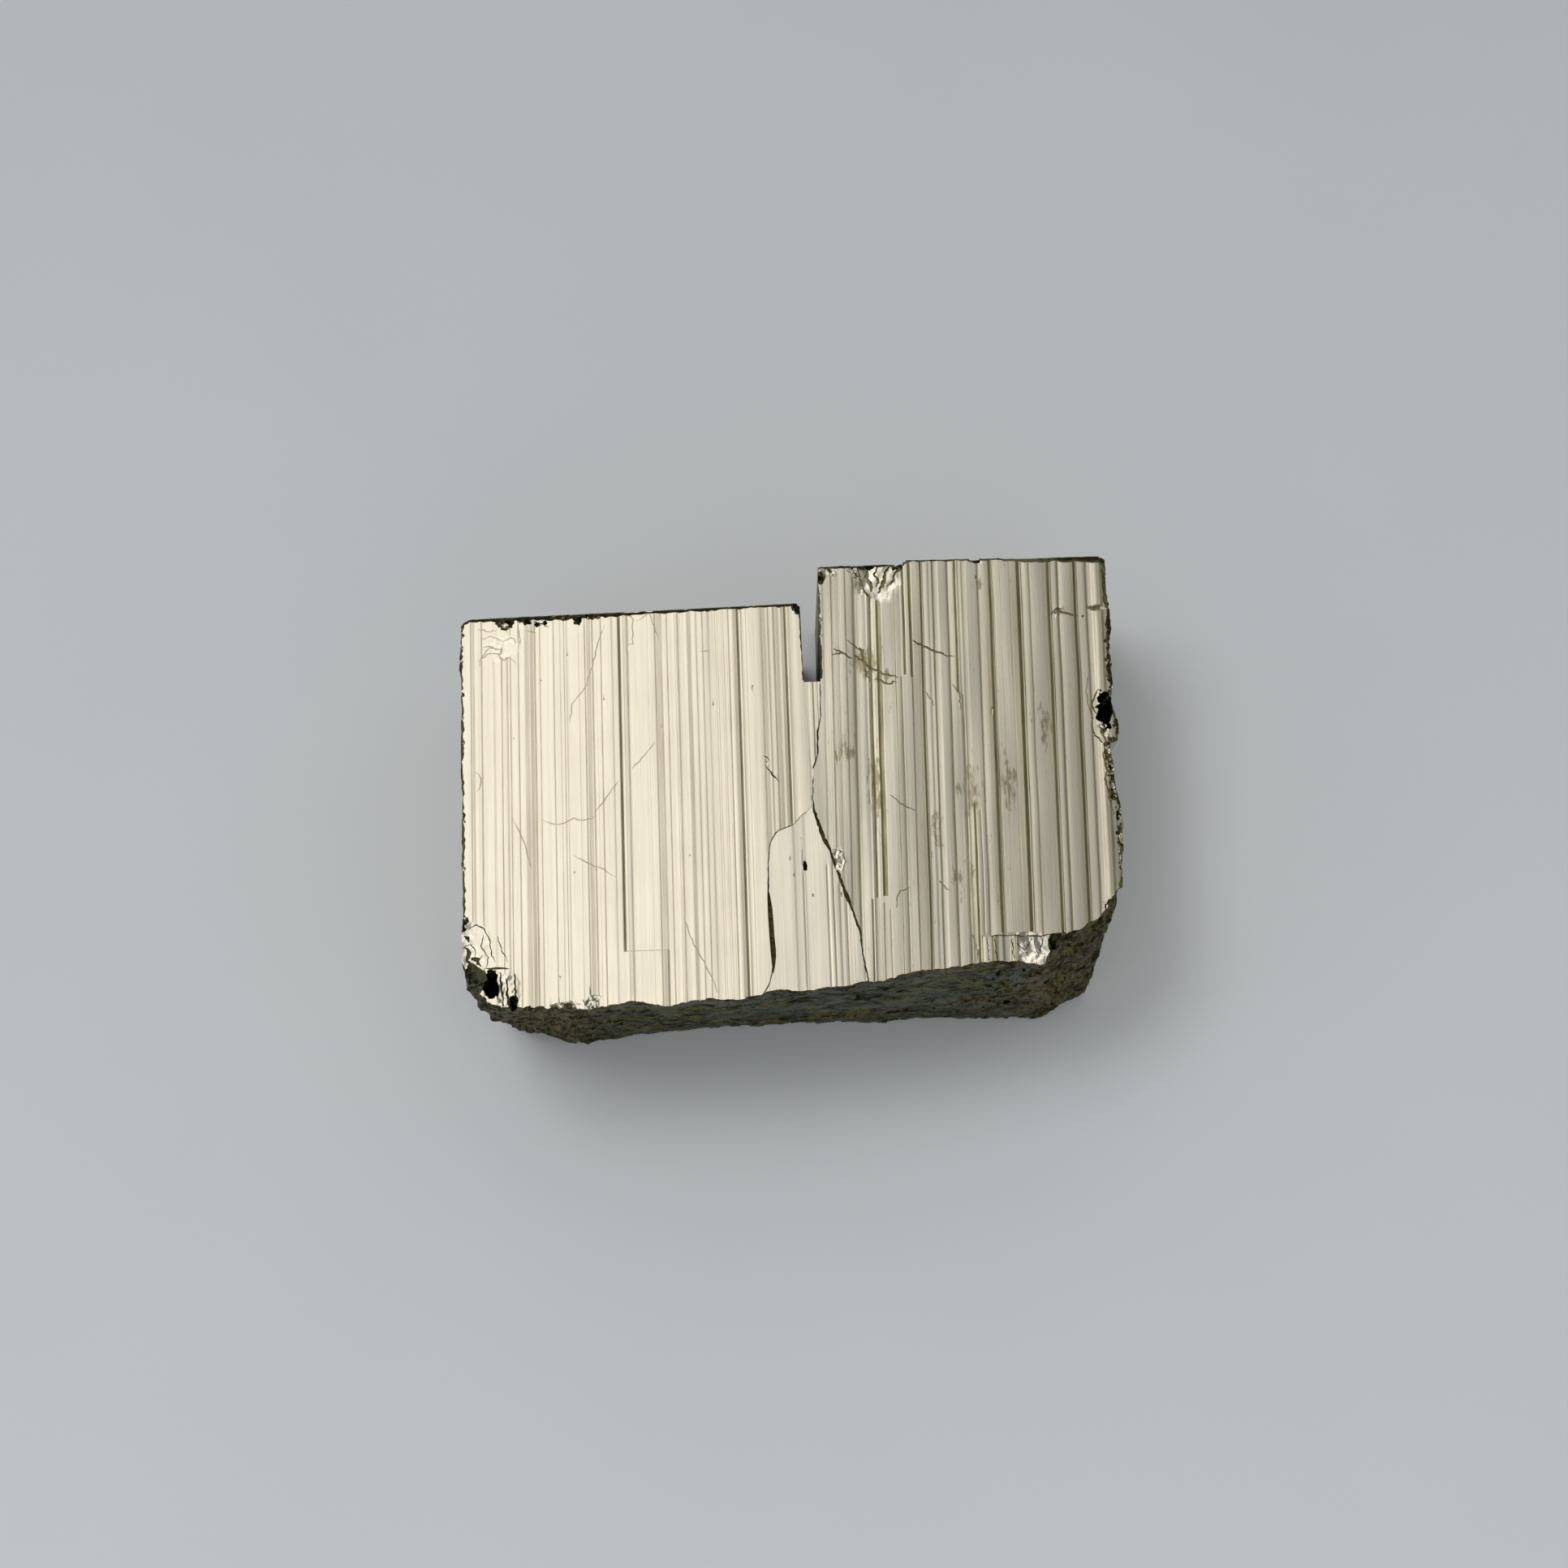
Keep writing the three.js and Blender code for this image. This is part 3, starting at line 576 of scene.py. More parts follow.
right_steps = [
    (2.6, 0.06, 0.005, LINE), (3.47, 0.06, 0.005, LINE), (3.92, 0.1, 0.012, LINE),
    *strong_line(8.08, 0.12, 0.014), (8.84, 0.1, 0.010, LINE), (9.74, 0.09, 0.010, LINE),
    (11.6, 0.1, 0.012, LINE), *strong_line(12.34, 0.15, 0.02), *strong_line(14.06, 0.19, 0.028),
    (14.8, 0.06, 0.008, LINE), *strong_line(15.94, 0.15, 0.02), (16.52, 0.12, 0.014, LINE),
    *strong_line(17.56, 0.15, 0.022), (18.3, 0.08, 0.010, LINE), (18.7, 0.12, -0.02, BAND),
    (19.2, 0.14, 0.012, LINE),
]
right_grooves = [
    (5.0, 0.12, 0.004, DEEP, -7.3, 16), (5.5, 0.3, 0.008, LINE, -7.2, 16),
    (5.42, 0.14, 0.003, DEEP, -7.2, 16), (7.06, 0.14, 0.006, DEEP, 6.5, 16),
    (7.47, 0.18, 0.008, DEEP, 6.35, 16), (6.85, 0.06, 0.002, LINE, -12, 6.4),
    (4.7, 0.1, 0.004, DEEP, -16, -7.36), (5.39, 0.06, 0.002, LINE, -16, -7.6),
    (5.78, 0.05, 0.002, BAND, -16, -8), (10.28, 0.14, 0.005, DEEP, 5.3, 16),
    (10.54, 0.1, 0.003, LINE, -16, 5.2), (11.02, 0.14, 0.005, DEEP, -16, -1.6),
    (11.36, 0.06, 0.002, LINE, -16, -2.0),
]
right_ribs = (2, 3.95, 5.0, 6.85, 8.15, 8.9, 9.8, 10.5, 11.6, 12.5, 14.3, 16.05, 16.6, 17.65, 18.4, 20)
right_fine = strewn((2, 19.6), 48, (0.04, 0.1), (0.001, 0.006), (CLEAN, CLEAN, BAND, BAND, LINE), 21)


def right_sway(x, y):
    return 0.03 * noise.noise(Vector((1.3 * x, 0.25 * y, 7)))


right_top = growth_face("right_crystal", (0, 22), (-16, 16), right_steps + right_fine, right_grooves, (),
                        tilt=0.55, sway=right_sway, waves=0.02, ribs=right_ribs, crown=(0.7, 1.7), seed=6)
made_thick(right_top, 17, (right_top_finish, right_shaded_line_finish, right_shaded_band_finish, right_shaded_deep_finish))
right_middle = Vector((11, 2, 14.05))
askew = Matrix.Rotation(right_turn, 4, "Z") @ Matrix.Rotation(math.radians(0.8), 4, "Y")
right_top.data.transform(Matrix.Translation(right_middle) @ askew @ Matrix.Translation((-11, -2, 0)))

right_back_steps = strewn((0.3, 15), 60, (0.05, 0.2), (0.01, 0.08), (CLEAN, CLEAN, BAND, LINE), 22)
right_back = side_face("right back", (-2, 17), (-22, 22), right_back_steps, 32, back_finish,
                       Z, X, Y, (0, 13.85, 0), panels=[(-4, 19, 0.24, -24, 7.35)], tilt=3, seed=7)

right_side_steps = strewn((-12, 16), 80, (0.05, 0.25), (0.01, 0.08), (CLEAN, CLEAN, BAND, LINE), 23)
right_outline = [
    (-16, -2.5), (-7.4, -0.3), (-2.9, 0.05), (-0.4, -0.35), (1.9, -0.36), (2.05, 0.1), (3.4, 0.02),
    (4.8, -0.1), (6.6, -0.2), (6.8, -0.04), (10.6, 0.0), (16, 0.0),
]
right_side = side_face("right side", (-16, 18), (-2, 17), right_side_steps, 26, side_finish,
                       Y, Z, X, (19.83, 0, 0), contour=right_outline, tilt=3, seed=8)

right_plan = [*right_seam, (22, -16), (22, 16)]
right_walls = prism("right walls", right_plan, 0, OVER_TOP, wall_finish)
right_crystal = combined(right_top, [right_back, right_side, right_walls], "INTERSECT")


# ---- Seam crystal ---------------------------------------------------------------------------------
# The small crystal that fills the seam at the front, and the narrow step at its head, which closes the
# foot of the notch. Both lie a little lower than their neighbours and grow into them below.
SEAM_FOOT = 0.05
SEAM_DROP = 0.08
STEP_DROP = 0.42
GAP_FLOOR = 13.3
seam_top_finish = finish("seam crystal top", (0.82, 0.76, 0.62), (0.75, 0.69, 0.56), (5, 0.1, 5),
                         rough=(0.14, 0.26), relief=0.002)
seam_steps = strewn((-3, 5), 18, (0.04, 0.1), (0.002, 0.006), (CLEAN, BAND, BAND, LINE), 31)
seam_grooves = [
    (1.9, 0.09, 0.005, LINE, -16, -5), (2.25, 0.08, 0.004, LINE, -16, -4), (0.5, 0.06, 0.003, BAND, -16, -4),
    (3.0, 0.08, 0.005, LINE, -16, -7),
]
seam_top = growth_face("seam_crystal", (-4, 6), (-16, 1), seam_steps, seam_grooves, (), tilt=0.4, seed=9)
made_thick(seam_top, 16, (seam_top_finish, shaded_line_finish, shaded_band_finish))
laid(seam_top, X, Y, Z, Vector((0, 0, TOP - SEAM_DROP)))
seam_plan = [
    (0.2, -1.9), (1.9, -0.6), (2.8, -3.9), (3.6, -7.3), (4.4, -9.3), (4.8, -16), (-2.8, -16), (-2.2, -4.4),
    (-1.4, -2.4),
]
seam_crystal = combined(seam_top, [prism("seam walls", seam_plan, SEAM_FOOT, OVER_TOP, wall_finish)],
                        "INTERSECT")

step_lines = strewn((0.5, 3), 6, (0.04, 0.08), (0.003, 0.008), (LINE, BAND, CLEAN), 32)
step_top = growth_face("step", (-1, 4), (-3, 8), step_lines, (), (), tilt=1.0, seed=10)
made_thick(step_top, 16, (right_top_finish, right_shaded_line_finish, right_shaded_band_finish))
laid(step_top, X, Y, Z, Vector((0, 0, TOP - STEP_DROP)))
step_plan = [(0.2, -1.5), (2.4, -1.5), (2.6, 6.44), (0.2, 6.46)]
step = combined(step_top, [prism("step walls", step_plan, SEAM_FOOT, OVER_TOP, wall_finish)], "INTERSECT")
body_plan = [(-3, 5), (-3, -10), (5, -10), (5, 5), (1.95, 6.4), (0.85, 6.4)]
seam_body = prism("seam body", body_plan, SEAM_FOOT, GAP_FLOOR, wall_finish)
seam_crystal = combined(seam_crystal, [step, seam_body], "UNION")
crystals = [left_crystal, right_crystal, seam_crystal]


# ---- Broken front ---------------------------------------------------------------------------------
# The front has broken away in a rough, ledged crust: crumbly at the left end, in flat slate-grey facets
# along the middle and granular down the right end. Its finishes are painted far darker than the metal: in
# part the brown of the crust, in part painted shade, as the front mirrors the shaded board before it. One
# sheet follows it and cuts all three crystals.
crust_and_shade_finish = finish("crumbly crust with painted shade", (0.165, 0.141, 0.05), (0.02, 0.0175, 0.008), (3.2, 3.2, 2.2),
                      rough=(0.35, 0.6), relief=0.03, patches=0.3, spread=(0.37, 0.67))
slate_shade_finish = finish("slate facet in painted shade", (0.118, 0.13, 0.082), (0.024, 0.028, 0.016), (0.6, 3, 3),
                      rough=(0.3, 0.5), relief=0.014, spread=(0.38, 0.6))
olive_shade_finish = finish("olive facet in painted shade", (0.136, 0.133, 0.052), (0.022, 0.022, 0.009), (0.8, 3, 3),
                     rough=(0.32, 0.5), relief=0.016, spread=(0.38, 0.6))
fresh_finish = finish("fresh fracture", (0.93, 0.89, 0.77), (0.70, 0.64, 0.50), (2.5, 2.5, 2.5),
                      rough=(0.1, 0.22), relief=0.01)
# The pit finish is near-black: painted shade in holes, pits and hollows.
pit_shade_finish = finish("pit", (0.05, 0.045, 0.02), (0.012, 0.012, 0.006), (4, 4, 4), rough=(0.5, 0.8))
worn_finish = finish("worn edge", (0.22, 0.2, 0.095), (0.075, 0.07, 0.03), (4, 4, 4), rough=(0.35, 0.6),
                     relief=0.01)

# The front in plan at four heights, each from the left side to the right.
front_outlines = [
    (0.0,
     [(-20.9, -6.8), (-19.4, -7.6), (-19.2, -10.8), (-17.4, -12.5), (-16.0, -13.0), (-13.9, -13.5),
      (-12.1, -13.3), (-8.5, -12.95), (-4.4, -12.75), (6.1, -12.7), (15.5, -12.82), (16.9, -12.3),
      (18.8, -11.4), (19.6, -10.1), (19.6, -7.8), (20.9, -6.4)]),
    (6.6,
     [(-20.9, -6.8), (-20.0, -7.6), (-20.0, -11.3), (-18.9, -12.6), (-17.4, -12.8), (-13.9, -13.1),
      (-12.1, -12.95), (-8.5, -12.85), (-4.4, -12.75), (6.1, -12.65), (14.4, -12.5), (16.4, -11.6),
      (18.2, -10.3), (19.5, -8.8), (19.9, -6.4), (20.9, -5.6)]),
    (10.4,
     [(-20.9, -9.0), (-20.3, -10.6), (-19.9, -11.9), (-18.9, -13.0), (-16.6, -13.25), (-12.1, -12.95),
      (-8.5, -12.85), (-4.4, -12.8), (5.2, -12.25), (12.4, -12.0), (15.2, -11.3), (17.4, -10.2),
      (19.2, -8.5), (19.9, -6.2), (20.9, -5.4)]),
    (14.2,
     [(-20.9, -9.5), (-20.1, -10.2), (-19.6, -11.5), (-18.4, -12.9), (-17.2, -13.05), (-13.9, -13.1),
      (-12.1, -13.05), (-7.5, -13.0), (-4.0, -12.85), (4.0, -12.3), (10.4, -11.35), (14.6, -11.3),
      (15.3, -10.0), (17.1, -9.2), (18.7, -8.2), (19.6, -6.6), (20.9, -5.8)]),
]
FRONT_COLUMNS, FRONT_ROWS = 400, 120
FRONT_FOOT, FRONT_HEIGHT = -0.8, 16


def front_spot(along, height):
    """A point of the front's outline, along from 0 to 1, at a height between two of those above."""
    height = max(0.0, min(front_outlines[-1][0], height))
    above = next(i for i, (level, _) in enumerate(front_outlines) if level >= height) or 1
    (low, under), (high, over) = front_outlines[above - 1], front_outlines[above]
    share = (height - low) / (high - low)
    spots = []
    for outline in (under, over):
        lengths = np.cumsum([0] + [math.dist(a, b) for a, b in zip(outline, outline[1:])])
        place = along * lengths[-1]
        spots.append(Vector([np.interp(place, lengths, side) for side in zip(*outline)]))
    return spots[0].lerp(spots[1], share)


def facet(point, size, seed):
    """The height of a patchwork of small flat facets, each leaning its own way, from about -0.5 to 0.5."""
    spot = point / size + Vector((seed, 2.3 * seed, 0))
    centre = noise.voronoi(spot)[1][0]
    lean = noise.cell_vector(centre * 7.13) * 2 - Vector((1, 1, 1))
    return 0.6 * lean.dot(spot - centre) + 0.5 * lean.x


def ledge(height):
    """Growth ledges across the front, as how far each level is set out."""
    levels = [
        (0, -0.1), (3.0, 0.04), (3.2, -0.12), (5.9, -0.1), (6.05, 0.1), (9.0, 0.02), (9.2, -0.16),
        (11.7, -0.1), (11.85, 0.06), (15, 0),
    ]
    return np.interp(height, *zip(*levels))


def crumble(x):
    """How granular the front is at a place along it: 0 along the middle and 1 at the ends."""
    return np.interp(x, [-20, -15, -9, 8, 14, 16], [1, 0.9, 0.25, 0.1, 0.6, 1])


CRUST, SLATE, OLIVE, PIT = range(4)


def front_slot(middle):
    """The finish of a small face of the front."""
    lumpy = noise.noise(middle * 1.3) + 0.6 * noise.noise(middle * 3.1)
    streak = noise.noise(Vector((middle.x * 0.18, 0, middle.z * 0.9))) + 0.25 * lumpy
    rough = crumble(middle.x)
    pitted = noise.noise(Vector((middle.x * 0.9, middle.y, middle.z * 2.2)) + Vector((0, 0, 40)))
    # A pitted face takes the pit finish, painted near-black: painted shade of a small pit.
    if pitted > 0.56 - 0.05 * rough:
        return PIT
    if middle.z > 13.35 + 0.3 * lumpy or rough + 0.5 * lumpy > 0.62:
        return CRUST
    vein = 3.2 + 0.42 * (middle.x - 3)
    if middle.x > 1 and abs(middle.z - vein) < 1.3 + 0.8 * lumpy:
        return CRUST if lumpy > -0.15 else OLIVE
    return OLIVE if streak > 0.12 or middle.x < -6 and streak > -0.2 else SLATE


bpy.ops.mesh.primitive_grid_add(x_subdivisions=FRONT_COLUMNS, y_subdivisions=FRONT_ROWS, size=2)
front = bpy.context.object
front.name = "front"
for vertex in front.data.vertices:
    along = (vertex.co.x + 1) / 2
    height = FRONT_FOOT + (vertex.co.y + 1) / 2 * FRONT_HEIGHT
    spot = front_spot(along, height)
    point = Vector((spot.x, spot.y, height))
    outward = Vector((0.35 * spot.x / 20, -1)) if abs(spot.x) < 17 else Vector((spot.x / 22, -0.55))
    outward.normalize()
    rough = crumble(spot.x)
    push = ledge(height) * (1 - 0.6 * rough)
    long = Vector((0.35 * point.x, point.y, point.z))
    push += (0.08 + 0.14 * rough) * 2 * noise.fractal(point * 0.45, 1.0, 2.0, 3)
    push += 0.18 * (1 - rough) * facet(long, 1.1, 4) + 0.11 * (1 - rough) * facet(long, 0.5, 6)
    push += 0.12 * rough * facet(point, 1.5, 1) + (0.02 + 0.10 * rough) * facet(point, 0.7, 2)
    push += (0.03 + 0.07 * rough) * facet(point, 0.32, 3)
    vertex.co = (spot.x + outward.x * push, spot.y + outward.y * push, height)
for face in front.data.polygons:
    face.material_index = front_slot(face.center)
dressed(front, (crust_and_shade_finish, slate_shade_finish, olive_shade_finish, pit_shade_finish))
all_edited()
bpy.ops.mesh.extrude_region_move()
bpy.ops.transform.resize(value=(1.5, 1.7, 1), center_override=(0, 4, 0))
finished_edit()


def copied(piece, shift=(0, 0, 0)):
    twin = piece.copy()
    twin.data = piece.data.copy()
    twin.data.transform(Matrix.Translation(shift))
    bpy.context.scene.collection.objects.link(twin)
    return twin


for crystal in crystals:
    inset = 0.02 if crystal is seam_crystal else 0
    combined(crystal, [copied(front, (0, inset, 0))], "DIFFERENCE")
bpy.data.meshes.remove(front.data)


# ---- Crumbs ---------------------------------------------------------------------------------------
# Small cubes and crumbs of pyrite stand out of the granular ends of the front. They have grown on it,
# each turned its own way, and are joined to the crystal behind them.
def lump(place, half, seed, finishes, kind="sphere"):
    """A small rough lump, each with its own shape and turn."""
    draw = random.Random(seed)
    if kind == "cube":
        bpy.ops.mesh.primitive_cube_add(size=1.6)
    else:
        bpy.ops.mesh.primitive_ico_sphere_add(subdivisions=2, radius=1)
    made = bpy.context.object
    made.name = "lump"
    turn = Euler([draw.uniform(0, 6.3) for _ in range(3)]).to_matrix()
    for vertex in made.data.vertices:
        ragged = 1 + draw.uniform(-0.17, 0.13)
        x, y, z = turn @ vertex.co * ragged
        vertex.co = Vector((x * half[0], y * half[1], z * half[2])) + Vector(place)
    dressed(made, finishes)
    for face in made.data.polygons:
        face.material_index = draw.randrange(len(finishes))
    return made


def front_crumbs(count, span, heights, sizes, crystal, seed):
    draw = random.Random(seed)
    finishes = (crust_and_shade_finish, crust_and_shade_finish, olive_shade_finish, slate_shade_finish)
    made = []
    for number in range(count):
        height = draw.uniform(*heights)
        spot = front_spot(draw.uniform(*span), height)
        size = draw.uniform(*sizes)
        inward = 0.8 * size
        place = (spot.x - inward * spot.x / 20, spot.y + inward, height)
        kind = "cube" if draw.random() < 0.3 else "sphere"
        made.append(lump(place, (size, size, size), seed + number, finishes, kind))
    combined(crystal, made, "UNION")


front_crumbs(90, (0.74, 0.87), (0.8, 13.0), (0.08, 0.2), right_crystal, 400)
front_crumbs(50, (0.1, 0.3), (0.8, 12), (0.08, 0.2), left_crystal, 600)


# ---- Seams and cracks -----------------------------------------------------------------------------
# A fine suture runs round the head of the seam crystal and opens into a gap beside it; a wider crack
# runs down its other side. Every cut from here on goes into a list, which is taken from the crystals last.
cuts = []


def tube(name, points, radii, material, sides=0):
    """A thin rod along some points, with a radius at each."""
    curve = bpy.data.curves.new(name, "CURVE")
    curve.dimensions = "3D"
    curve.bevel_depth = 1
    curve.bevel_resolution = sides
    curve.use_fill_caps = True
    spline = curve.splines.new("POLY")
    spline.points.add(len(points) - 1)
    for knot, point, radius in zip(spline.points, points, radii):
        knot.co = (*point, 1)
        knot.radius = radius
    made = bpy.data.objects.new(name, curve)
    bpy.context.scene.collection.objects.link(made)
    settled()
    made.select_set(True)
    bpy.context.view_layer.objects.active = made
    bpy.ops.object.convert(target="MESH")
    made = bpy.context.object
    made.data.materials.append(material)
    all_edited()
    bpy.ops.mesh.remove_doubles(threshold=0.0001)
    finished_edit()
    return made


trees = []
for crystal in crystals:
    corners = [vertex.co for vertex in crystal.data.vertices]
    trees.append(BVHTree.FromPolygons(corners, [face.vertices for face in crystal.data.polygons]))


def top_at(x, y):
    """The height of the uncut tops at a place, or nothing beside the crystals."""
    found = [tree.ray_cast(Vector((x, y, 20)), -Z)[0] for tree in trees]
    return max((spot.z for spot in found if spot), default=None)


def fine_path(path, spacing):
    """The points of a path with more between them, evenly spaced."""
    lengths = np.cumsum([0] + [math.dist(a, b) for a, b in zip(path, path[1:])])
    places = np.linspace(0, lengths[-1], max(2, round(lengths[-1] / spacing) + 1))
    return [tuple(np.interp(place, lengths, side) for side in zip(*path)) for place in places]


def scratch(path, width, depth, material, seed, spacing=0.3, wander=0.05):
    """A groove along a path over the tops, thinning out at both ends."""
    draw = random.Random(seed)
    points, radii = [], []
    fine = fine_path(path, spacing)
    for number, (x, y) in enumerate(fine):
        share = number / (len(fine) - 1)
        swell = 0.35 + 0.65 * math.sin(math.pi * min(1, max(0, share))) ** 0.5
        size = width / 2 * swell * draw.uniform(0.7, 1.25)
        x += draw.uniform(-wander, wander)
        y += draw.uniform(-wander, wander)
        height = top_at(x, y)
        if height is None:
            continue
        points.append((x, y, height + size - min(depth, 1.5 * size)))
        radii.append(size)
    if len(points) > 1:
        cuts.append(tube("scratch", points, radii, material, sides=1))


def scratches(paths, width, depth, material, seed, spacing=0.3, wander=0.05):
    for number, path in enumerate(paths):
        scratch(path, width, depth, material, seed + number, spacing, wander)


def open_crack(name, path, low, material):
    """Cut straight down along a path of (x, y, width)."""
    left, right = [], []
    for (x, y, wide), (ahead_x, ahead_y, _) in zip(path, path[1:] + [path[-1]]):
        if (ahead_x, ahead_y) == (x, y):
            ahead_x, ahead_y, x_from, y_from = x, y, *path[-2][:2]
        else:
            x_from, y_from = x, y
        away = Vector((ahead_y - y_from, x_from - ahead_x)).normalized() * wide / 2
        left.append((x - away.x, y - away.y))
        right.append((x + away.x, y + away.y))
    cuts.append(prism(name, left + right[::-1], low, OVER_TOP, material))


def wavering(path, spacing, wander, seed):
    """A crack's path of (x, y, width) with a ragged course."""
    draw = random.Random(seed)
    fine = fine_path(path, spacing)
    return [(x + draw.uniform(-wander, wander), y, width * draw.uniform(0.7, 1.3)) for x, y, width in fine]


def split(path, width, depth, seed, material=worn_finish):
    """A ragged crack through a chip, cut straight down and thinning out at its ends."""
    ends = (0, len(path) - 1)
    thinned = [(x, y, width * (0.4 if number in ends else 1)) for number, (x, y) in enumerate(path)]
    low = top_at(*path[len(path) // 2]) - depth
    open_crack("split", wavering(thinned, 0.16, 0.05, seed), low, material)


def splits(paths, widths, depth, seed, materials=(worn_finish,)):
    """Several splits, which take the widths and the finishes in turn."""
    for number, path in enumerate(paths):
        width = widths[number % len(widths)]
        split(path, width, depth, seed + number, materials[number % len(materials)])


crack_finish = finish("crack", (0.20, 0.165, 0.055), (0.08, 0.065, 0.022), (4, 4, 4), rough=(0.45, 0.7))
whole_crack = [(1.25, 1.2, 0.05)] + crack_path[:-1] + [(4.25, -14.5, 0.08)]
step_side = [(1.92, 6.3, 0.05), (1.88, 4.1, 0.06), (1.66, 3.3, 0.12), (1.6, 1.7, 0.07), (1.28, 1.0, 0.08)]
suture = [(0.0, -2.5, 0.04), (-1.05, -2.92, 0.06), (-1.46, -3.6, 0.05), (-1.6, -4.67, 0.06),
          (-1.66, -6.5, 0.09)]
suture_foot = [(-1.55, -11.2, 0.1), (-1.75, -12.1, 0.07), (-2.3, -12.95, 0.06), (-2.5, -13.6, 0.06)]
open_crack("crack", wavering(whole_crack, 0.2, 0.03, 41), 13.66, crack_finish)
open_crack("step side", wavering(step_side, 0.3, 0.02, 42), 13.2, crack_finish)
open_crack("suture", wavering(suture, 0.25, 0.012, 43), 13.8, crack_finish)
open_crack("suture foot", wavering(suture_foot, 0.25, 0.012, 44), 13.7, crack_finish)
gap = [
    (-1.7, -6.2), (-1.56, -6.9), (-1.46, -7.6), (-1.42, -8.4), (-1.39, -9.3), (-1.33, -10.1), (-1.34, -10.6),
    (-1.44, -11.2), (-1.55, -11.6), (-1.6, -11.0), (-1.66, -10.2), (-1.7, -9.2), (-1.74, -8.0),
    (-1.74, -7.0),
]
cuts.append(prism("gap", gap, GAP_FLOOR, OVER_TOP, crack_finish))
scratch([(1.2, -1.45), (0.75, -1.75), (0.0, -2.45)], 0.05, 0.02, shaded_line_finish, 45)
scratch([(0.1, -2.3), (0.42, -3.4), (0.9, -4.3), (1.15, -5.0)], 0.05, 0.02, shaded_line_finish, 46)
scratch([(0.45, -3.1), (0.75, -3.9), (1.0, -4.3)], 0.07, 0.03, shaded_band_finish, 47)


# ---- Worn edges -----------------------------------------------------------------------------------
# Pyrite is brittle, so its edges splinter: along each runs a narrow, ragged bevel that has dulled to dark
# olive, with small bites in it. The outer corners at the back have worn round from top to foot.
def worn_edge(path, sizes, seed, inward):
    """A ragged bevel along the edge of a top: its path in plan, and inward the way to solid metal."""
    draw = random.Random(seed)
    wander = 0.03
    points, radii = [], []
    for x, y in fine_path(path, 0.22):
        height = top_at(x + inward[0], y + inward[1])
        if height is None:
            continue
        points.append((x + draw.uniform(-wander, wander), y + draw.uniform(-wander, wander), height + 0.03))
        lumpy = 0.4 + 0.6 * noise.noise(Vector((0.9 * x, 0.9 * y, seed)))
        lumpy += 0.4 * noise.noise(Vector((2.8 * x, 2.8 * y, seed)))
        radii.append(sizes[0] + (sizes[1] - sizes[0]) * min(1, max(0, lumpy + draw.uniform(-0.2, 0.2))))
    cuts.append(tube("worn edge", points, radii, worn_finish))


def rounded_corner(corner, toward, radius, seed):
    """Takes off an upright corner to a ragged round: toward is the way to solid metal, such as (1, -1)."""
    draw = random.Random(seed)
    centre = Vector(corner) + Vector(toward) * radius
    parts = 8
    outline = []
    for number in range(parts + 1):
        angle = math.radians(90 * number / parts)
        side = Vector((-toward[0] * math.cos(angle), -toward[1] * math.sin(angle)))
        outline.append(tuple(centre + side * radius * draw.uniform(0.94, 1.05)))
    outside = Vector(corner) - Vector(toward) * 0.6
    first, last = outline[0], outline[-1]
    outline = [(outside.x, first[1]), *outline, (last[0], outside.y), tuple(outside)]
    cuts.append(prism("rounded corner", outline, -1, OVER_TOP, side_finish))


def upright_edge(spot, sizes, seed):
    draw = random.Random(seed)
    heights = np.linspace(-0.4, 14.6, 40)
    points = [(spot[0] + draw.uniform(-0.05, 0.05), spot[1] + draw.uniform(-0.05, 0.05), z) for z in heights]
    radii = [draw.uniform(*sizes) for _ in heights]
    cuts.append(tube("worn upright edge", points, radii, worn_finish))


def nibbles(path, count, sizes, seed, finishes, inward):
    """Small bites out of an edge, each of its own size."""
    draw = random.Random(seed)
    fine = fine_path(path, 0.1)
    for number in range(count):
        x, y = draw.choice(fine)
        height = top_at(x + inward[0], y + inward[1]) or TOP
        half = [draw.uniform(*sizes) for _ in range(3)]
        place = (x + draw.uniform(-0.1, 0.1), y + draw.uniform(-0.1, 0.1), height + 0.2 * half[2])
        cuts.append(lump(place, half, seed * 50 + number, finishes))


left_side_edge = [(-20.02, 11.0), (-20.02, -7.4)]
left_notch_edge = [(0.84, 11.2), (0.91, 6.46)]
right_notch_edge = [(1.96, 13.6), (1.93, 6.5)]
right_back_edge = [(1.95, 13.61), (7.3, 13.61), (7.4, 13.86), (19.85, 13.86)]
right_side_edge = [
    (19.84, 13.8), (19.84, 10.6), (19.62, 6.7), (19.74, 4.8), (19.88, 3.4), (19.93, 2.1), (19.52, 1.9),
    (19.48, -0.4), (19.88, -2.9), (19.75, -5.4), (19.53, -7.3),
]
right_corner = [(12.4, 14.15), (14.4, 13.9), (16.2, 13.8), (19.45, 13.7), (19.72, 13.55), (19.82, 13.2),
                (19.86, 10.4)]
left_corner = [(-20.03, 10.25), (-19.93, 10.7), (-19.6, 10.95)]
worn_edge([(-20.02, -7.4), *left_corner, (-12.8, 10.98), (-10.2, 11.04)], (0.1, 0.36), 51, (0.4, -0.4))
worn_edge([(-10.7, 11.03), (0.9, 11.3)], (0.07, 0.2), 58, (0, -0.4))
worn_edge(left_notch_edge, (0.06, 0.14), 53, (-0.3, 0))
worn_edge(right_notch_edge, (0.1, 0.26), 54, (0.3, 0))
worn_edge(right_back_edge, (0.12, 0.26), 55, (0, -0.5))
worn_edge(right_corner, (0.3, 0.46), 56, (-0.7, -0.7))
worn_edge(right_side_edge, (0.12, 0.36), 57, (-0.6, 0))
rounded_corner((-20.05, 11.0), (1, -1), 0.7, 65)
rounded_corner((1.93, 13.64), (1, -1), 0.3, 66)
rounded_corner((19.86, 13.75), (-1, -1), 0.4, 67)
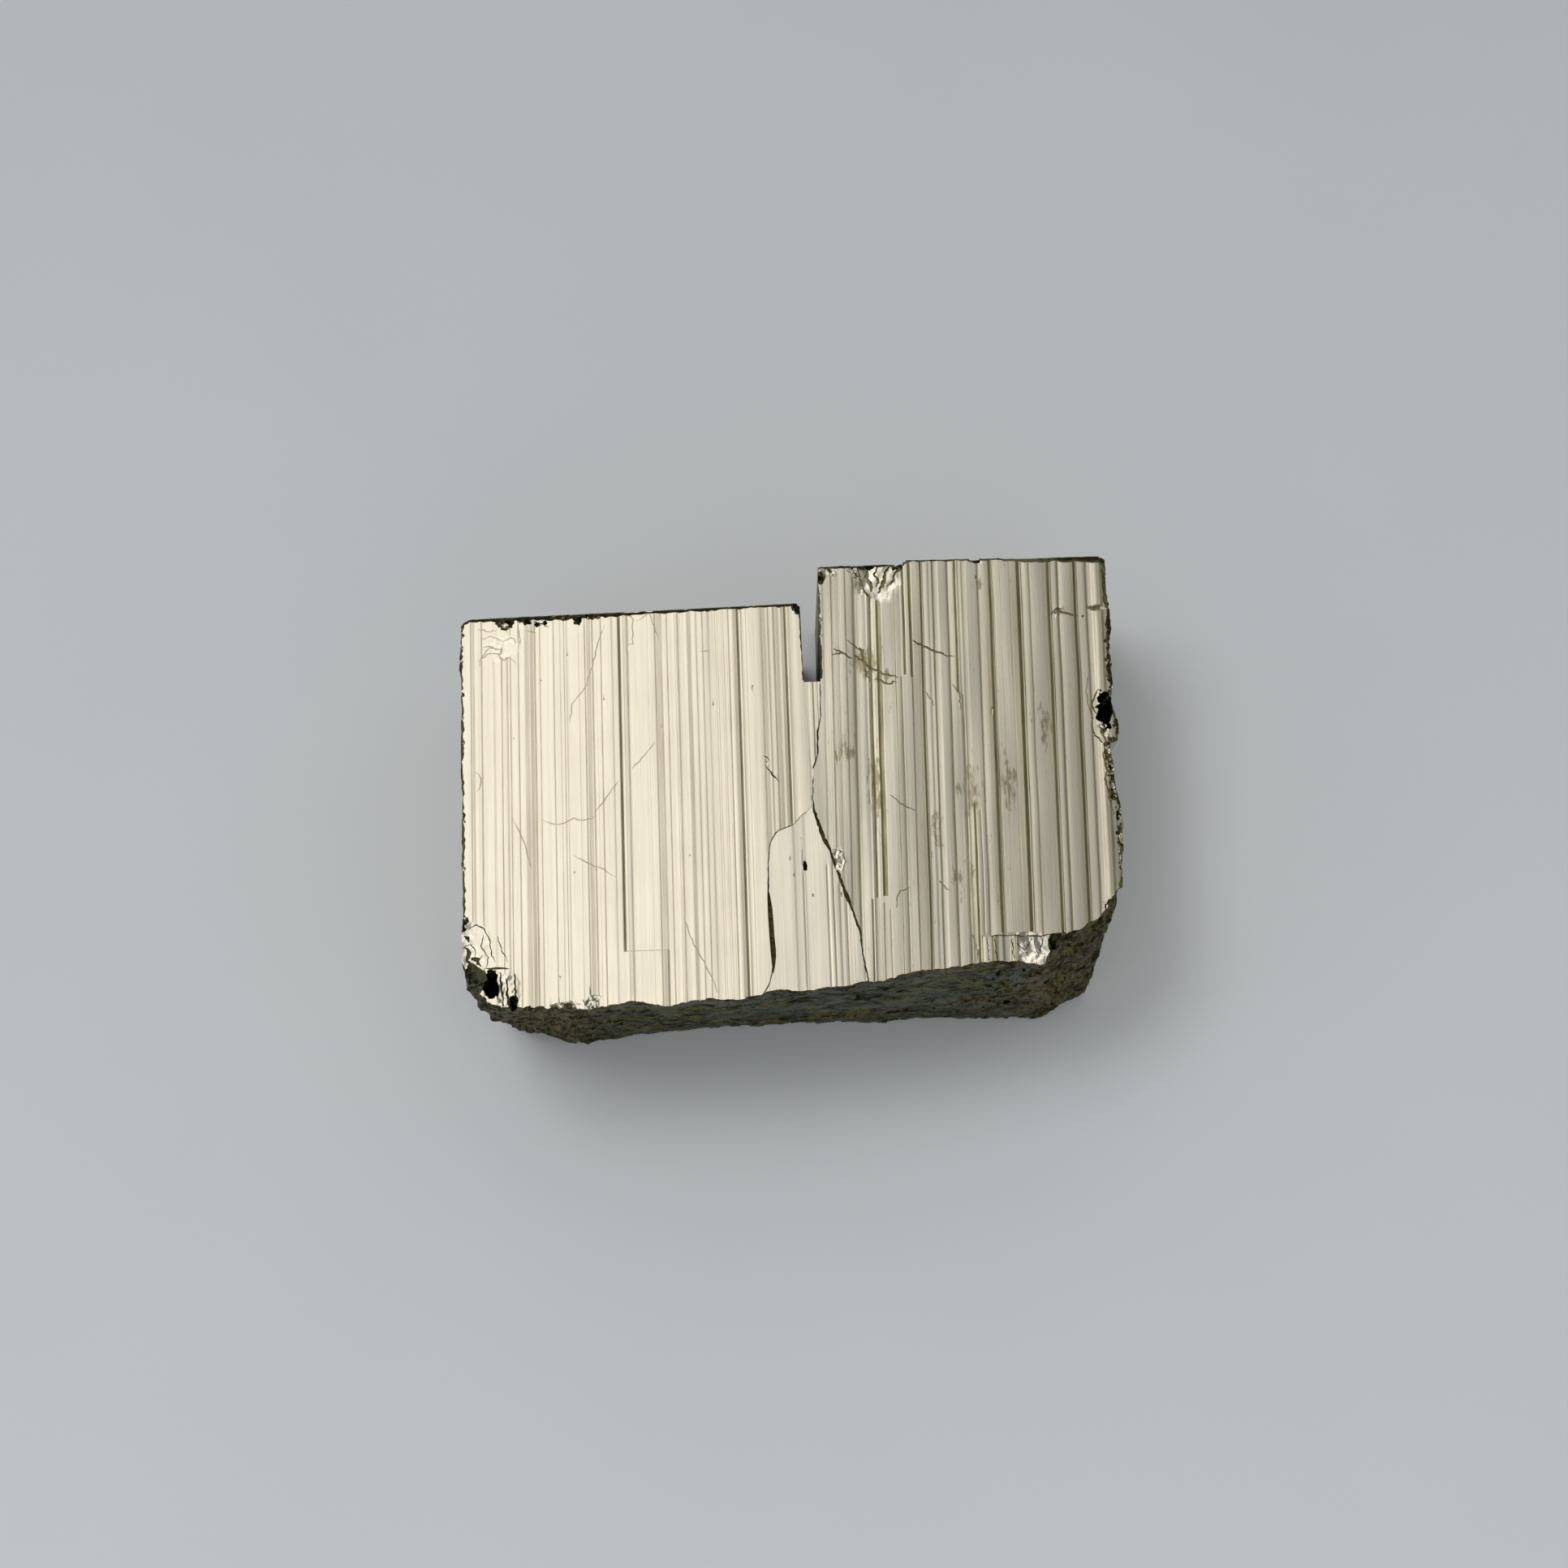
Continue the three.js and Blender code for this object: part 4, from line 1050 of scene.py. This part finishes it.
upright_edge((0.88, 11.33), (0.1, 0.26), 60)
upright_edge((7.38, 13.88), (0.1, 0.2), 61)
nibbles([(-18.2, 10.95), (-11.5, 11.0)], 14, (0.08, 0.22), 71, (worn_finish, worn_finish, shaded_band_finish),
        (0, -0.4))
nibbles(left_side_edge, 30, (0.07, 0.24), 72, (worn_finish, worn_finish, left_top_finish, fresh_finish),
        (0.4, 0))
nibbles(right_notch_edge, 12, (0.08, 0.2), 73, (worn_finish, right_top_finish), (0.3, 0))
nibbles(right_back_edge, 10, (0.08, 0.2), 74, (worn_finish, worn_finish, fresh_finish), (0, -0.5))
nibbles(right_side_edge, 40, (0.08, 0.28), 75, (worn_finish, worn_finish, crust_and_shade_finish, fresh_finish),
        (-0.6, 0))


# ---- Chips and holes ------------------------------------------------------------------------------
# Pyrite breaks in shells: bright, uneven bowls of small facets in fresh metal, with cracks through them and
# holes where more came away, their floors painted near-black as painted shade. A few pebbles of metal are
# still held in them.
def fracture(place, size, depth, seed, finishes, ragged=0.5, coarse=0.45, columns=34):
    """A bowl of small facets with a ragged rim, open upwards. The finishes run from its rim to its floor."""
    draw = random.Random(seed)
    if len(place) == 2:
        place = (*place, top_at(*place))
    bpy.ops.mesh.primitive_grid_add(x_subdivisions=columns, y_subdivisions=columns, size=2)
    made = bpy.context.object
    made.name = "fracture"
    for vertex in made.data.vertices:
        u = 1.4 * (vertex.co.x + draw.uniform(-0.7, 0.7) / columns)
        v = 1.4 * (vertex.co.y + draw.uniform(-0.7, 0.7) / columns)
        spot = Vector((place[0] + u * size[0], place[1] + v * size[1], seed))
        rim = 1.2 * noise.noise(spot * 1.3 / size[0]) + 0.7 * noise.noise(spot * 3.1 / size[0])
        rim = u * u + v * v + ragged * rim
        relief = 0.9 * facet(spot, coarse, seed) + 0.25 * facet(spot, coarse / 2, seed + 3)
        vertex.co = (spot.x, spot.y, place[2] + depth * (min(rim, 1.8) - 1 + 0.6 * relief))
    dressed(made, finishes)
    for face in made.data.polygons:
        centre = face.center
        fall = (place[2] - centre.z) / (1.3 * depth)
        fall += 0.5 * noise.noise(Vector((centre.x, centre.y, seed)) * 2.6)
        face.material_index = max(0, min(len(finishes) - 1, int(fall * len(finishes))))
    closed_off(made, 3, place[2] + 3)
    cuts.append(made)


# The finishes of a chip, from its rim to its floor; those that end in the pit finish are painted near-black
# towards the floor, painted shade in the hollow.
hole = (worn_finish, pit_shade_finish)
deep_hole = (worn_finish, pit_shade_finish, pit_shade_finish)
crumbled = (worn_finish, crust_and_shade_finish)
frayed = (fresh_finish, right_top_finish, worn_finish)
shattered = (fresh_finish, worn_finish, fresh_finish, pit_shade_finish)
olives = (stain_finish, right_shaded_deep_finish)
pebbles = []
# Back left corner of the left crystal: a pale shell outlined by cracks, and a pebble in a bite of the edge.
fracture((-17.6, 9.4), (1.15, 1.2), 0.022, 81, (left_top_finish, left_top_finish, fresh_finish), coarse=0.8,
         columns=44)
fracture((-17.25, 10.75), (0.55, 0.46), 0.34, 82, (worn_finish, worn_finish, pit_shade_finish))
pebbles.append(lump((-17.26, 10.56, 13.84), (0.26, 0.22, 0.17), 899, (shaded_band_finish, left_top_finish)))
shell_cracks = [
    [(-18.85, 8.0), (-18.75, 8.45), (-18.3, 8.75), (-17.7, 8.8), (-17.4, 8.3), (-17.0, 8.55), (-16.6, 8.1)],
    [(-18.7, 9.75), (-18.0, 9.9), (-17.4, 9.55), (-16.8, 9.75), (-16.5, 9.3)],
    [(-16.45, 10.4), (-16.35, 9.6), (-16.5, 8.9)], [(-18.6, 9.2), (-18.1, 9.25), (-17.75, 9.0)],
    [(-18.9, 10.35), (-18.2, 10.2), (-17.7, 10.3)],
]
scratches(shell_cracks, 0.07, 0.035, shaded_line_finish, 890, spacing=0.16)
back_bites = [
    (-15.9, 10.9, 0.26), (-15.3, 10.62, 0.2), (-14.8, 10.75, 0.12), (-13.6, 11.1, 0.28),
    (-12.8, 10.85, 0.26), (-12.2, 11.05, 0.15),
]
for number, (x, y, half) in enumerate(back_bites):
    size = (half, 1.1 * half)
    fracture((x, y - 0.08, 13.98), size, 0.16, 900 + number, hole, ragged=0.9, coarse=0.2, columns=12)
scratch([(-15.5, 10.75), (-15.0, 10.6), (-14.6, 10.35)], 0.1, 0.07, worn_finish, 906, spacing=0.12)
fracture((0.75, 11.15, 14.0), (0.42, 0.62), 0.3, 907, hole, ragged=0.3, coarse=0.4, columns=16)
# Broken front left corner: pebbles and bright shells, then a black hole, a low facet and splinters.
fracture((-19.15, -9.25), (0.95, 1.35), 0.045, 84, (left_top_finish, fresh_finish, left_top_finish),
         ragged=0.45, coarse=1.1, columns=44)
pebble_gaps = [
    [(-19.85, -9.4), (-19.55, -9.75), (-19.7, -10.15), (-19.4, -10.45)],
    [(-19.5, -9.9), (-19.1, -10.1), (-19.0, -10.5)], [(-19.9, -8.7), (-19.7, -8.95)],
]
scratches(pebble_gaps, 0.26, 0.16, worn_finish, 960, spacing=0.12, wander=0.1)
fracture((-19.95, -7.9), (0.3, 0.5), 0.25, 83, hole, coarse=0.3, columns=16)
pebbles.append(lump((-19.82, -7.55, 13.8), (0.17, 0.14, 0.16), 897, (fresh_finish, left_top_finish)))
pebbles.append(lump((-19.72, -8.05, 13.8), (0.19, 0.17, 0.17), 898, (fresh_finish, left_top_finish)))
corner_cracks = [
    [(-19.7, -8.3), (-19.2, -7.95), (-18.7, -8.25), (-18.35, -8.9), (-18.3, -9.8), (-18.0, -10.3)],
    [(-19.95, -9.3), (-19.5, -9.15), (-19.2, -9.5), (-19.3, -10.1)],
    [(-18.8, -8.6), (-18.9, -9.3), (-18.5, -9.9), (-18.6, -10.6)],
    [(-17.9, -8.7), (-17.7, -9.5), (-17.3, -10.3)],
]
splits(corner_cracks, (0.07,), 0.2, 880)
fracture((-19.55, -11.45, 13.8), (0.85, 0.95), 0.6, 86,
         (worn_finish, slate_shade_finish, slate_shade_finish, olive_shade_finish), ragged=0.35, coarse=1.3)
fracture((-18.35, -11.7, 13.98), (0.46, 0.9), 1.2, 85, deep_hole, ragged=0.5, coarse=0.6)
fracture((-17.35, -12.0), (0.65, 1.1), 0.07, 87, (fresh_finish, left_top_finish, left_top_finish),
         ragged=0.5, coarse=0.9, columns=40)
fracture((-17.0, -12.85, 13.95), (0.3, 0.6), 0.9, 910, hole, ragged=0.7, coarse=0.3, columns=20)
fracture((-16.1, -13.3, 13.9), (0.36, 0.26), 0.5, 911, (pit_shade_finish,), coarse=0.3, columns=16)
scratch([(-18.65, -10.65), (-17.9, -10.68), (-17.2, -10.67)], 0.14, 0.1, worn_finish, 913)
splinter_heads = [(-17.75, -10.9), (-17.4, -11.3), (-16.95, -11.0)]
splits([[(x, y), (x + 0.05, y - 1.0), (x + 0.15, y - 2.0)] for x, y in splinter_heads], (0.14,), 0.4, 914)
fracture((-12.3, -12.85), (0.55, 0.4), 0.07, 88, (fresh_finish, left_top_finish, worn_finish), ragged=1.0)
fracture((-13.9, -13.1), (0.8, 0.3), 0.12, 89, (fresh_finish, worn_finish), ragged=1.0)
# Back of the right crystal.
fracture((2.75, 13.3), (0.62, 0.36), 0.16, 90, (fresh_finish, fresh_finish, worn_finish), columns=30)
fracture((2.2, 12.85, 14.15), (0.26, 0.36), 0.2, 91, crumbled, columns=16)
fracture((5.8, 12.8), (1.35, 1.2), 0.045, 92, (right_top_finish, right_top_finish, fresh_finish), ragged=0.6,
         coarse=0.8, columns=60)
fracture((4.35, 13.4), (0.4, 0.5), 0.16, 93, frayed, ragged=0.9, columns=24)
fracture((5.0, 13.5), (0.5, 0.2), 0.25, 964, (worn_finish,), ragged=1.0, coarse=0.3, columns=24)
fracture((6.9, 13.45), (0.3, 0.26), 0.2, 965, (worn_finish,), ragged=1.0, coarse=0.3, columns=24)
back_cracks = [
    [(4.45, 13.5), (4.6, 12.8), (4.75, 12.1), (5.05, 11.6)],
    [(5.2, 13.5), (5.05, 13.0), (5.25, 12.3), (5.3, 11.9)],
    [(5.75, 13.5), (5.5, 13.0), (5.75, 12.6), (5.6, 12.2)],
    [(6.5, 13.5), (6.2, 13.15), (6.15, 12.7), (5.9, 12.2), (5.75, 11.8)],
    [(7.1, 13.4), (6.75, 13.0), (6.7, 12.6), (6.4, 12.3)],
]
splits(back_cracks, (0.15, 0.24, 0.17, 0.22, 0.15), 0.26, 970, olives)
fracture((11.75, 13.85, 14.05), (0.58, 0.26), 0.4, 94, hole, columns=20)
# Right edge: a cut across it, a black cavity, and crumbled metal down the rest.
fracture((19.15, 10.45), (0.7, 0.2), 0.12, 95, (right_shaded_band_finish, right_shaded_line_finish), ragged=0.3)
fracture((19.8, 12.2, 13.9), (0.3, 1.2), 0.2, 96, crumbled)
fracture((19.2, 4.0, 13.85), (0.54, 1.05), 1.3, 920, deep_hole, ragged=0.9, coarse=0.5)
fracture((19.0, 2.75), (0.42, 0.4), 0.1, 921, frayed, ragged=0.9, coarse=0.3)
edge_chips = [
    (1.5, 0.42, 0.7), (0.3, 0.34, 0.6), (-1.0, 0.36, 0.7), (-2.4, 0.3, 0.6), (-3.9, 0.34, 0.8),
    (-5.4, 0.3, 0.6),
]
for number, (y, half_x, half_y) in enumerate(edge_chips):
    x = np.interp(y, (-5.4, -2.9, -0.4, 1.5), (19.7, 19.8, 19.4, 19.4))
    finishes = shattered if number % 2 else (*crumbled, fresh_finish)
    fracture((x, y, 13.93), (half_x, half_y), 0.14, 922 + number, finishes, ragged=0.9, coarse=0.3,
             columns=26)
edge_cracks = [
    [(18.9, 5.3), (18.55, 4.8), (18.45, 4.2), (18.7, 3.7)],
    [(18.4, 3.6), (18.3, 3.0), (18.5, 2.4), (18.95, 1.9)],
    [(18.75, 3.1), (18.95, 2.5), (19.15, 1.9), (19.1, 1.2)],
    [(18.9, 1.3), (19.05, 0.4), (19.3, -0.5), (19.25, -1.3)], [(18.45, 4.1), (18.85, 4.25), (19.15, 4.6)],
    [(19.2, 0.6), (18.95, -0.3), (19.1, -1.4), (19.35, -2.6)],
]
splits(edge_cracks, (0.11,), 0.16, 940, olives)
# Beside the crack, and where the front edge of the right crystal has come away to a striated floor.
fracture((2.6, -4.85), (0.4, 0.58), 0.06, 100, (fresh_finish,), ragged=0.5, coarse=0.8, columns=30)
shells = []
for number, (x, y) in enumerate([(2.55, -4.6), (2.72, -4.95), (2.6, -5.25)]):
    shells.append(lump((x, y, 14.04), (0.2, 0.24, 0.12), 990 + number, (fresh_finish,)))
split([(2.3, -4.15), (2.85, -4.3), (3.05, -4.9), (2.8, -5.5)], 0.06, 0.12, 928)
fracture((13.75, -10.6, 13.95), (1.15, 0.75), 0.1, 101, (right_top_finish, fresh_finish, right_top_finish),
         ragged=0.7, coarse=1.1, columns=50)
chip_cracks = [
    [(11.3, -9.8), (11.35, -11.2)], [(11.75, -9.8), (11.8, -11.2)], [(12.75, -9.9), (12.85, -11.1)],
    [(13.05, -10.2), (13.65, -10.85)], [(13.95, -9.95), (13.55, -10.6)], [(14.1, -10.1), (14.3, -11.1)],
    [(14.65, -9.95), (14.4, -10.7)],
]
splits(chip_cracks, (0.14,), 0.5, 980)
scratch([(10.95, -9.72), (12.6, -9.76), (14.6, -9.85), (15.4, -9.75)], 0.12, 0.09, worn_finish, 988)
floor_steps = strewn((-1.2, 1.2), 9, (0.05, 0.12), (0.006, 0.02), (LINE, LINE, BAND, CLEAN), 104)
floor = growth_face("chip floor", (-1.0, 1.1), (-3.2, 0), floor_steps, tilt=1.5, seed=12)
dressed(floor, (right_top_finish, right_shaded_line_finish, right_shaded_band_finish))
closed_off(floor, 3, 3)
floor.data.transform(Matrix.Translation((11.95, -9.72, 13.8)) @ Matrix.Rotation(right_turn, 4, "Z"))
cuts.append(floor)
fracture((15.5, -10.3, 13.8), (0.5, 0.5), 0.4, 102, hole)
fracture((18.9, -8.3, 13.8), (0.4, 0.5), 0.3, 103, (crust_and_shade_finish, pit_shade_finish))
# Pits in the front: across, up, half width and half height.
pits = [
    (-14.6, 9.2, 0.28, 0.3), (-13.9, 9.4, 0.25, 0.35), (-13.3, 9.1, 0.2, 0.25), (-7.4, 6.0, 0.7, 0.16),
    (10.4, 11.6, 0.35, 0.25), (-0.4, 12.6, 0.3, 0.2), (1.8, 11.2, 0.5, 0.12), (-3.5, 10.2, 0.6, 0.12),
    (2.0, 2.4, 0.4, 0.25), (7.5, 3.8, 0.5, 0.14), (15.4, 8.4, 0.4, 0.4), (16.6, 6.0, 0.35, 0.3),
    (17.6, 9.6, 0.3, 0.35), (-17.6, 5.4, 0.5, 0.4), (-10.3, 3.2, 0.6, 0.2),
]
for number, (x, z, half_x, half_z) in enumerate(pits):
    near = min((front_spot(along / 200, z) for along in range(201)), key=lambda spot: abs(spot.x - x))
    cuts.append(lump((x, near.y - 0.05, z), (half_x, 0.3, half_z), 930 + number, (pit_shade_finish, worn_finish)))


# ---- Scratches and flecks -------------------------------------------------------------------------
# Hair cracks and scratches run over both growth faces, and small flecks show where the olive tarnish has
# taken hold. Each is a shallow groove or dimple in the metal.
left_scratches = [
    [(-11.14, 10.39), (-11.67, 8.86), (-12.09, 7.33), (-12.46, 6.31), (-13.21, 5.57), (-13.38, 4.3)],
    [(-8.19, 2.85), (-9.7, 1.23)], [(-10.5, 0.55), (-11.36, -0.58), (-11.96, -1.46)],
    [(-13.37, -3.91), (-12.26, -4.54), (-11.44, -4.92), (-10.72, -5.44)],
    [(-15.14, -1.7), (-14.17, -2.13), (-13.33, -1.66), (-12.6, -1.89), (-11.86, -1.56)],
    [(-6.79, -7.95), (-6.21, -9.69), (-5.29, -11.43), (-4.85, -12.66)],
    [(-16.95, -1.54), (-16.28, -2.91), (-15.82, -4.67)],
    [(-19.18, 1.46), (-18.84, 1.2), (-18.74, 0.54), (-19.04, 0.14)],
    [(-9.15, 10.58), (-8.39, 11.07), (-7.84, 9.24)],
    [(-10.1, 10.9), (-9.42, 10.9), (-9.43, 9.1), (-9.78, 9.05), (-9.8, 8.5)], [(-5.3, 8.45), (-4.7, 8.5)],
    [(-16.0, 10.2), (-15.3, 10.0)], [(-18.9, 8.3), (-18.2, 9.2), (-17.4, 9.0)],
]
scratches(left_scratches, 0.07, 0.03, shaded_line_finish, 110)
scratch([(-1.66, 1.2), (-1.2, 0.62), (-0.78, 0.1)], 0.12, 0.06, worn_finish, 190)
scratch([(-1.75, 1.75), (-1.45, 1.72), (-1.3, 1.5)], 0.08, 0.04, worn_finish, 191)
right_scratches = [
    [(2.82, 8.35), (3.94, 7.69)], [(3.6, 8.9), (4.47, 8.2), (4.8, 7.2), (5.88, 6.6), (6.76, 6.41)],
    [(7.66, 8.7), (8.92, 7.98), (10.14, 7.58)], [(8.58, -6.26), (8.94, -6.77), (9.28, -6.83)],
    [(5.97, -7.9), (6.0, -7.2), (6.26, -6.85), (6.76, -6.64)], [(8.31, 5.48), (8.5, 5.1), (8.85, 4.54)],
    [(9.98, 5.9), (10.35, 5.35), (10.42, 4.2)], [(10.27, -9.43), (10.5, -9.9), (10.7, -11.0)],
    [(10.87, -10.04), (10.72, -10.6), (10.7, -11.2)], [(16.6, 10.3), (18.0, 9.95)],
    [(5.9, -0.9), (6.6, -1.6), (7.4, -2.0)], [(18.35, 6.4), (18.1, 5.2), (18.2, 4.2), (18.5, 3.4)],
]
stained = (0, 1, 2, 9)
for number, path in enumerate(right_scratches):
    if number in stained:
        scratch(path, 0.13, 0.06, stain_finish, 130 + number, spacing=0.18)
    else:
        scratch(path, 0.09, 0.035, right_shaded_line_finish, 130 + number, spacing=0.18)
frayed_scratches = [
    [(4.1, 7.9), (4.75, 7.3), (5.2, 6.75)], [(4.35, 8.35), (4.75, 7.95)],
    [(5.3, 6.35), (6.1, 6.05), (6.6, 6.1)], [(2.75, 8.0), (3.3, 8.05), (3.7, 7.8)],
    [(4.7, 7.0), (4.95, 6.2)], [(16.35, 10.15), (16.6, 10.5), (16.95, 10.45)],
]
scratches(frayed_scratches, 0.12, 0.06, stain_finish, 192, spacing=0.12, wander=0.08)


def flecks(spots, half, material, seed):
    """Shallow marks over the tops, each at a place and all of about one size."""
    draw = random.Random(seed)
    for number, (x, y) in enumerate(spots):
        size = [side * draw.uniform(0.7, 1.4) for side in half]
        height = top_at(x, y)
        cuts.append(lump((x, y, height + 0.55 * size[2]), size, seed * 40 + number, (material,)))


right_flecks = [(11.79, 12.61), (18.2, 9.95), (12.35, 4.3), (16.75, 10.35), (16.5, 10.2)]
flecks(right_flecks, (0.1, 0.14, 0.06), stain_finish, 157)
left_flecks = [
    (-13.46, 8.56), (-11.28, 5.66), (-11.93, -4.9), (-13.24, -5.0), (-1.5, 1.4), (-15.1, 7.0),
    (-14.2, -11.3), (-6.3, -4.2), (-7.8, 3.8), (-4.6, 5.1), (-2.2, 6.2), (-16.8, 3.4),
]
flecks(left_flecks, (0.06, 0.07, 0.04), shaded_line_finish, 154)
fracture((0.6, -5.1, 13.94), (0.13, 0.32), 0.14, 155, hole, ragged=0.6, coarse=0.2, columns=12)
flecks([(-0.3, -4.6), (-0.1, -5.6), (1.0, -6.9), (2.7, -6.9)], (0.05, 0.14, 0.05), shaded_line_finish, 156)


# ---- Underside ------------------------------------------------------------------------------------
# Broken from the rock it grew on: shallow hollows between the flats it rests on, and bites in its foot.
# The crust covers all of it, so a thin skin is taken off the flats as well.
SKIN = 0.015
half_length, half_width = 22, 16
hollows = [(-12.5, -6.5, 5.2, 3.6, 0.55), (-9.5, 5.6, 4.6, 3.2, 0.5), (9.5, -6.4, 5.6, 3.4, 0.6),
           (12.4, 6.4, 4.2, 4.8, 0.45)]
bpy.ops.mesh.primitive_grid_add(x_subdivisions=150, y_subdivisions=110, size=2)
underside = bpy.context.object
underside.name = "underside"
for vertex in underside.data.vertices:
    x, y = vertex.co.x * half_length, vertex.co.y * half_width
    point = Vector((x, y, 3))
    bowl = max(deep * (1 - ((x - cx) / hx) ** 2 - ((y - cy) / hy) ** 2) for cx, cy, hx, hy, deep in hollows)
    z = max(0.0, 1.6 * (bowl + 0.2 * noise.noise(point * 0.5)))
    z += 0.2 * facet(point, 1.6, 5)
    z += 0.1 * facet(point, 0.6, 6)
    z += 0.25 * noise.noise(point * 0.3)
    vertex.co = (x, y, max(SKIN, z))
for face in underside.data.polygons:
    face.material_index = 1 if noise.noise(face.center * 0.8) > 0.25 else 0
dressed(underside, (crust_and_shade_finish, olive_shade_finish))
closed_off(underside, -4, -4)
cuts.append(underside)
foot_bites = [(-19.8, -9.5), (-16.5, -13.5), (-5, -13.2), (15.5, -13.3), (20, -10), (20.2, 13.6), (2, 14),
              (0, 11.4), (-20, 11.2), (-20, 2), (-10, 11.2), (20, 2), (10, 14), (4, -13.1), (-11, -13.4),
              (-20, -4), (20, 8)]
draw = random.Random(77)
for number, (x, y) in enumerate(foot_bites):
    half = (draw.uniform(0.8, 2.6), draw.uniform(0.5, 1.1), draw.uniform(0.2, 0.55))
    cuts.append(lump((x, y, -0.1), half, 960 + number, (crust_and_shade_finish, olive_shade_finish, worn_finish)))


# ---- Finished pieces ------------------------------------------------------------------------------
# All the breaks are cut from each crystal; the seam crystal's are a touch deeper, so that where it lies
# inside its neighbours only their surface shows.
def reaches(crystal, cut):
    ends = [[getattr(v.co, axis) for v in piece.data.vertices] for piece in (crystal, cut) for axis in "xyz"]
    return all(min(ends[i]) < max(ends[i + 3]) and min(ends[i + 3]) < max(ends[i]) for i in range(3))


DEEPER = (0, 0.015, -0.03)
HIGHER = (0, 0, 0.045)
for crystal in crystals:
    tools = []
    for cut in cuts:
        if reaches(crystal, cut):
            recess = HIGHER if cut is underside else DEEPER
            tools.append(copied(cut, recess if crystal is seam_crystal else (0, 0, 0)))
    combined(crystal, tools, "DIFFERENCE")
for cut in cuts:
    bpy.data.meshes.remove(cut.data)
combined(left_crystal, pebbles, "UNION")
combined(right_crystal, shells, "UNION")
CREASE = math.radians(28)
for crystal in crystals:
    crystal.data.transform(Matrix.Scale(MM, 4))
    crystal.data.update()
    settled()
    crystal.select_set(True)
    bpy.context.view_layer.objects.active = crystal
    bpy.ops.object.shade_smooth_by_angle(angle=CREASE)
    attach(crystal, "root")
    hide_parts("pyrite_cluster")
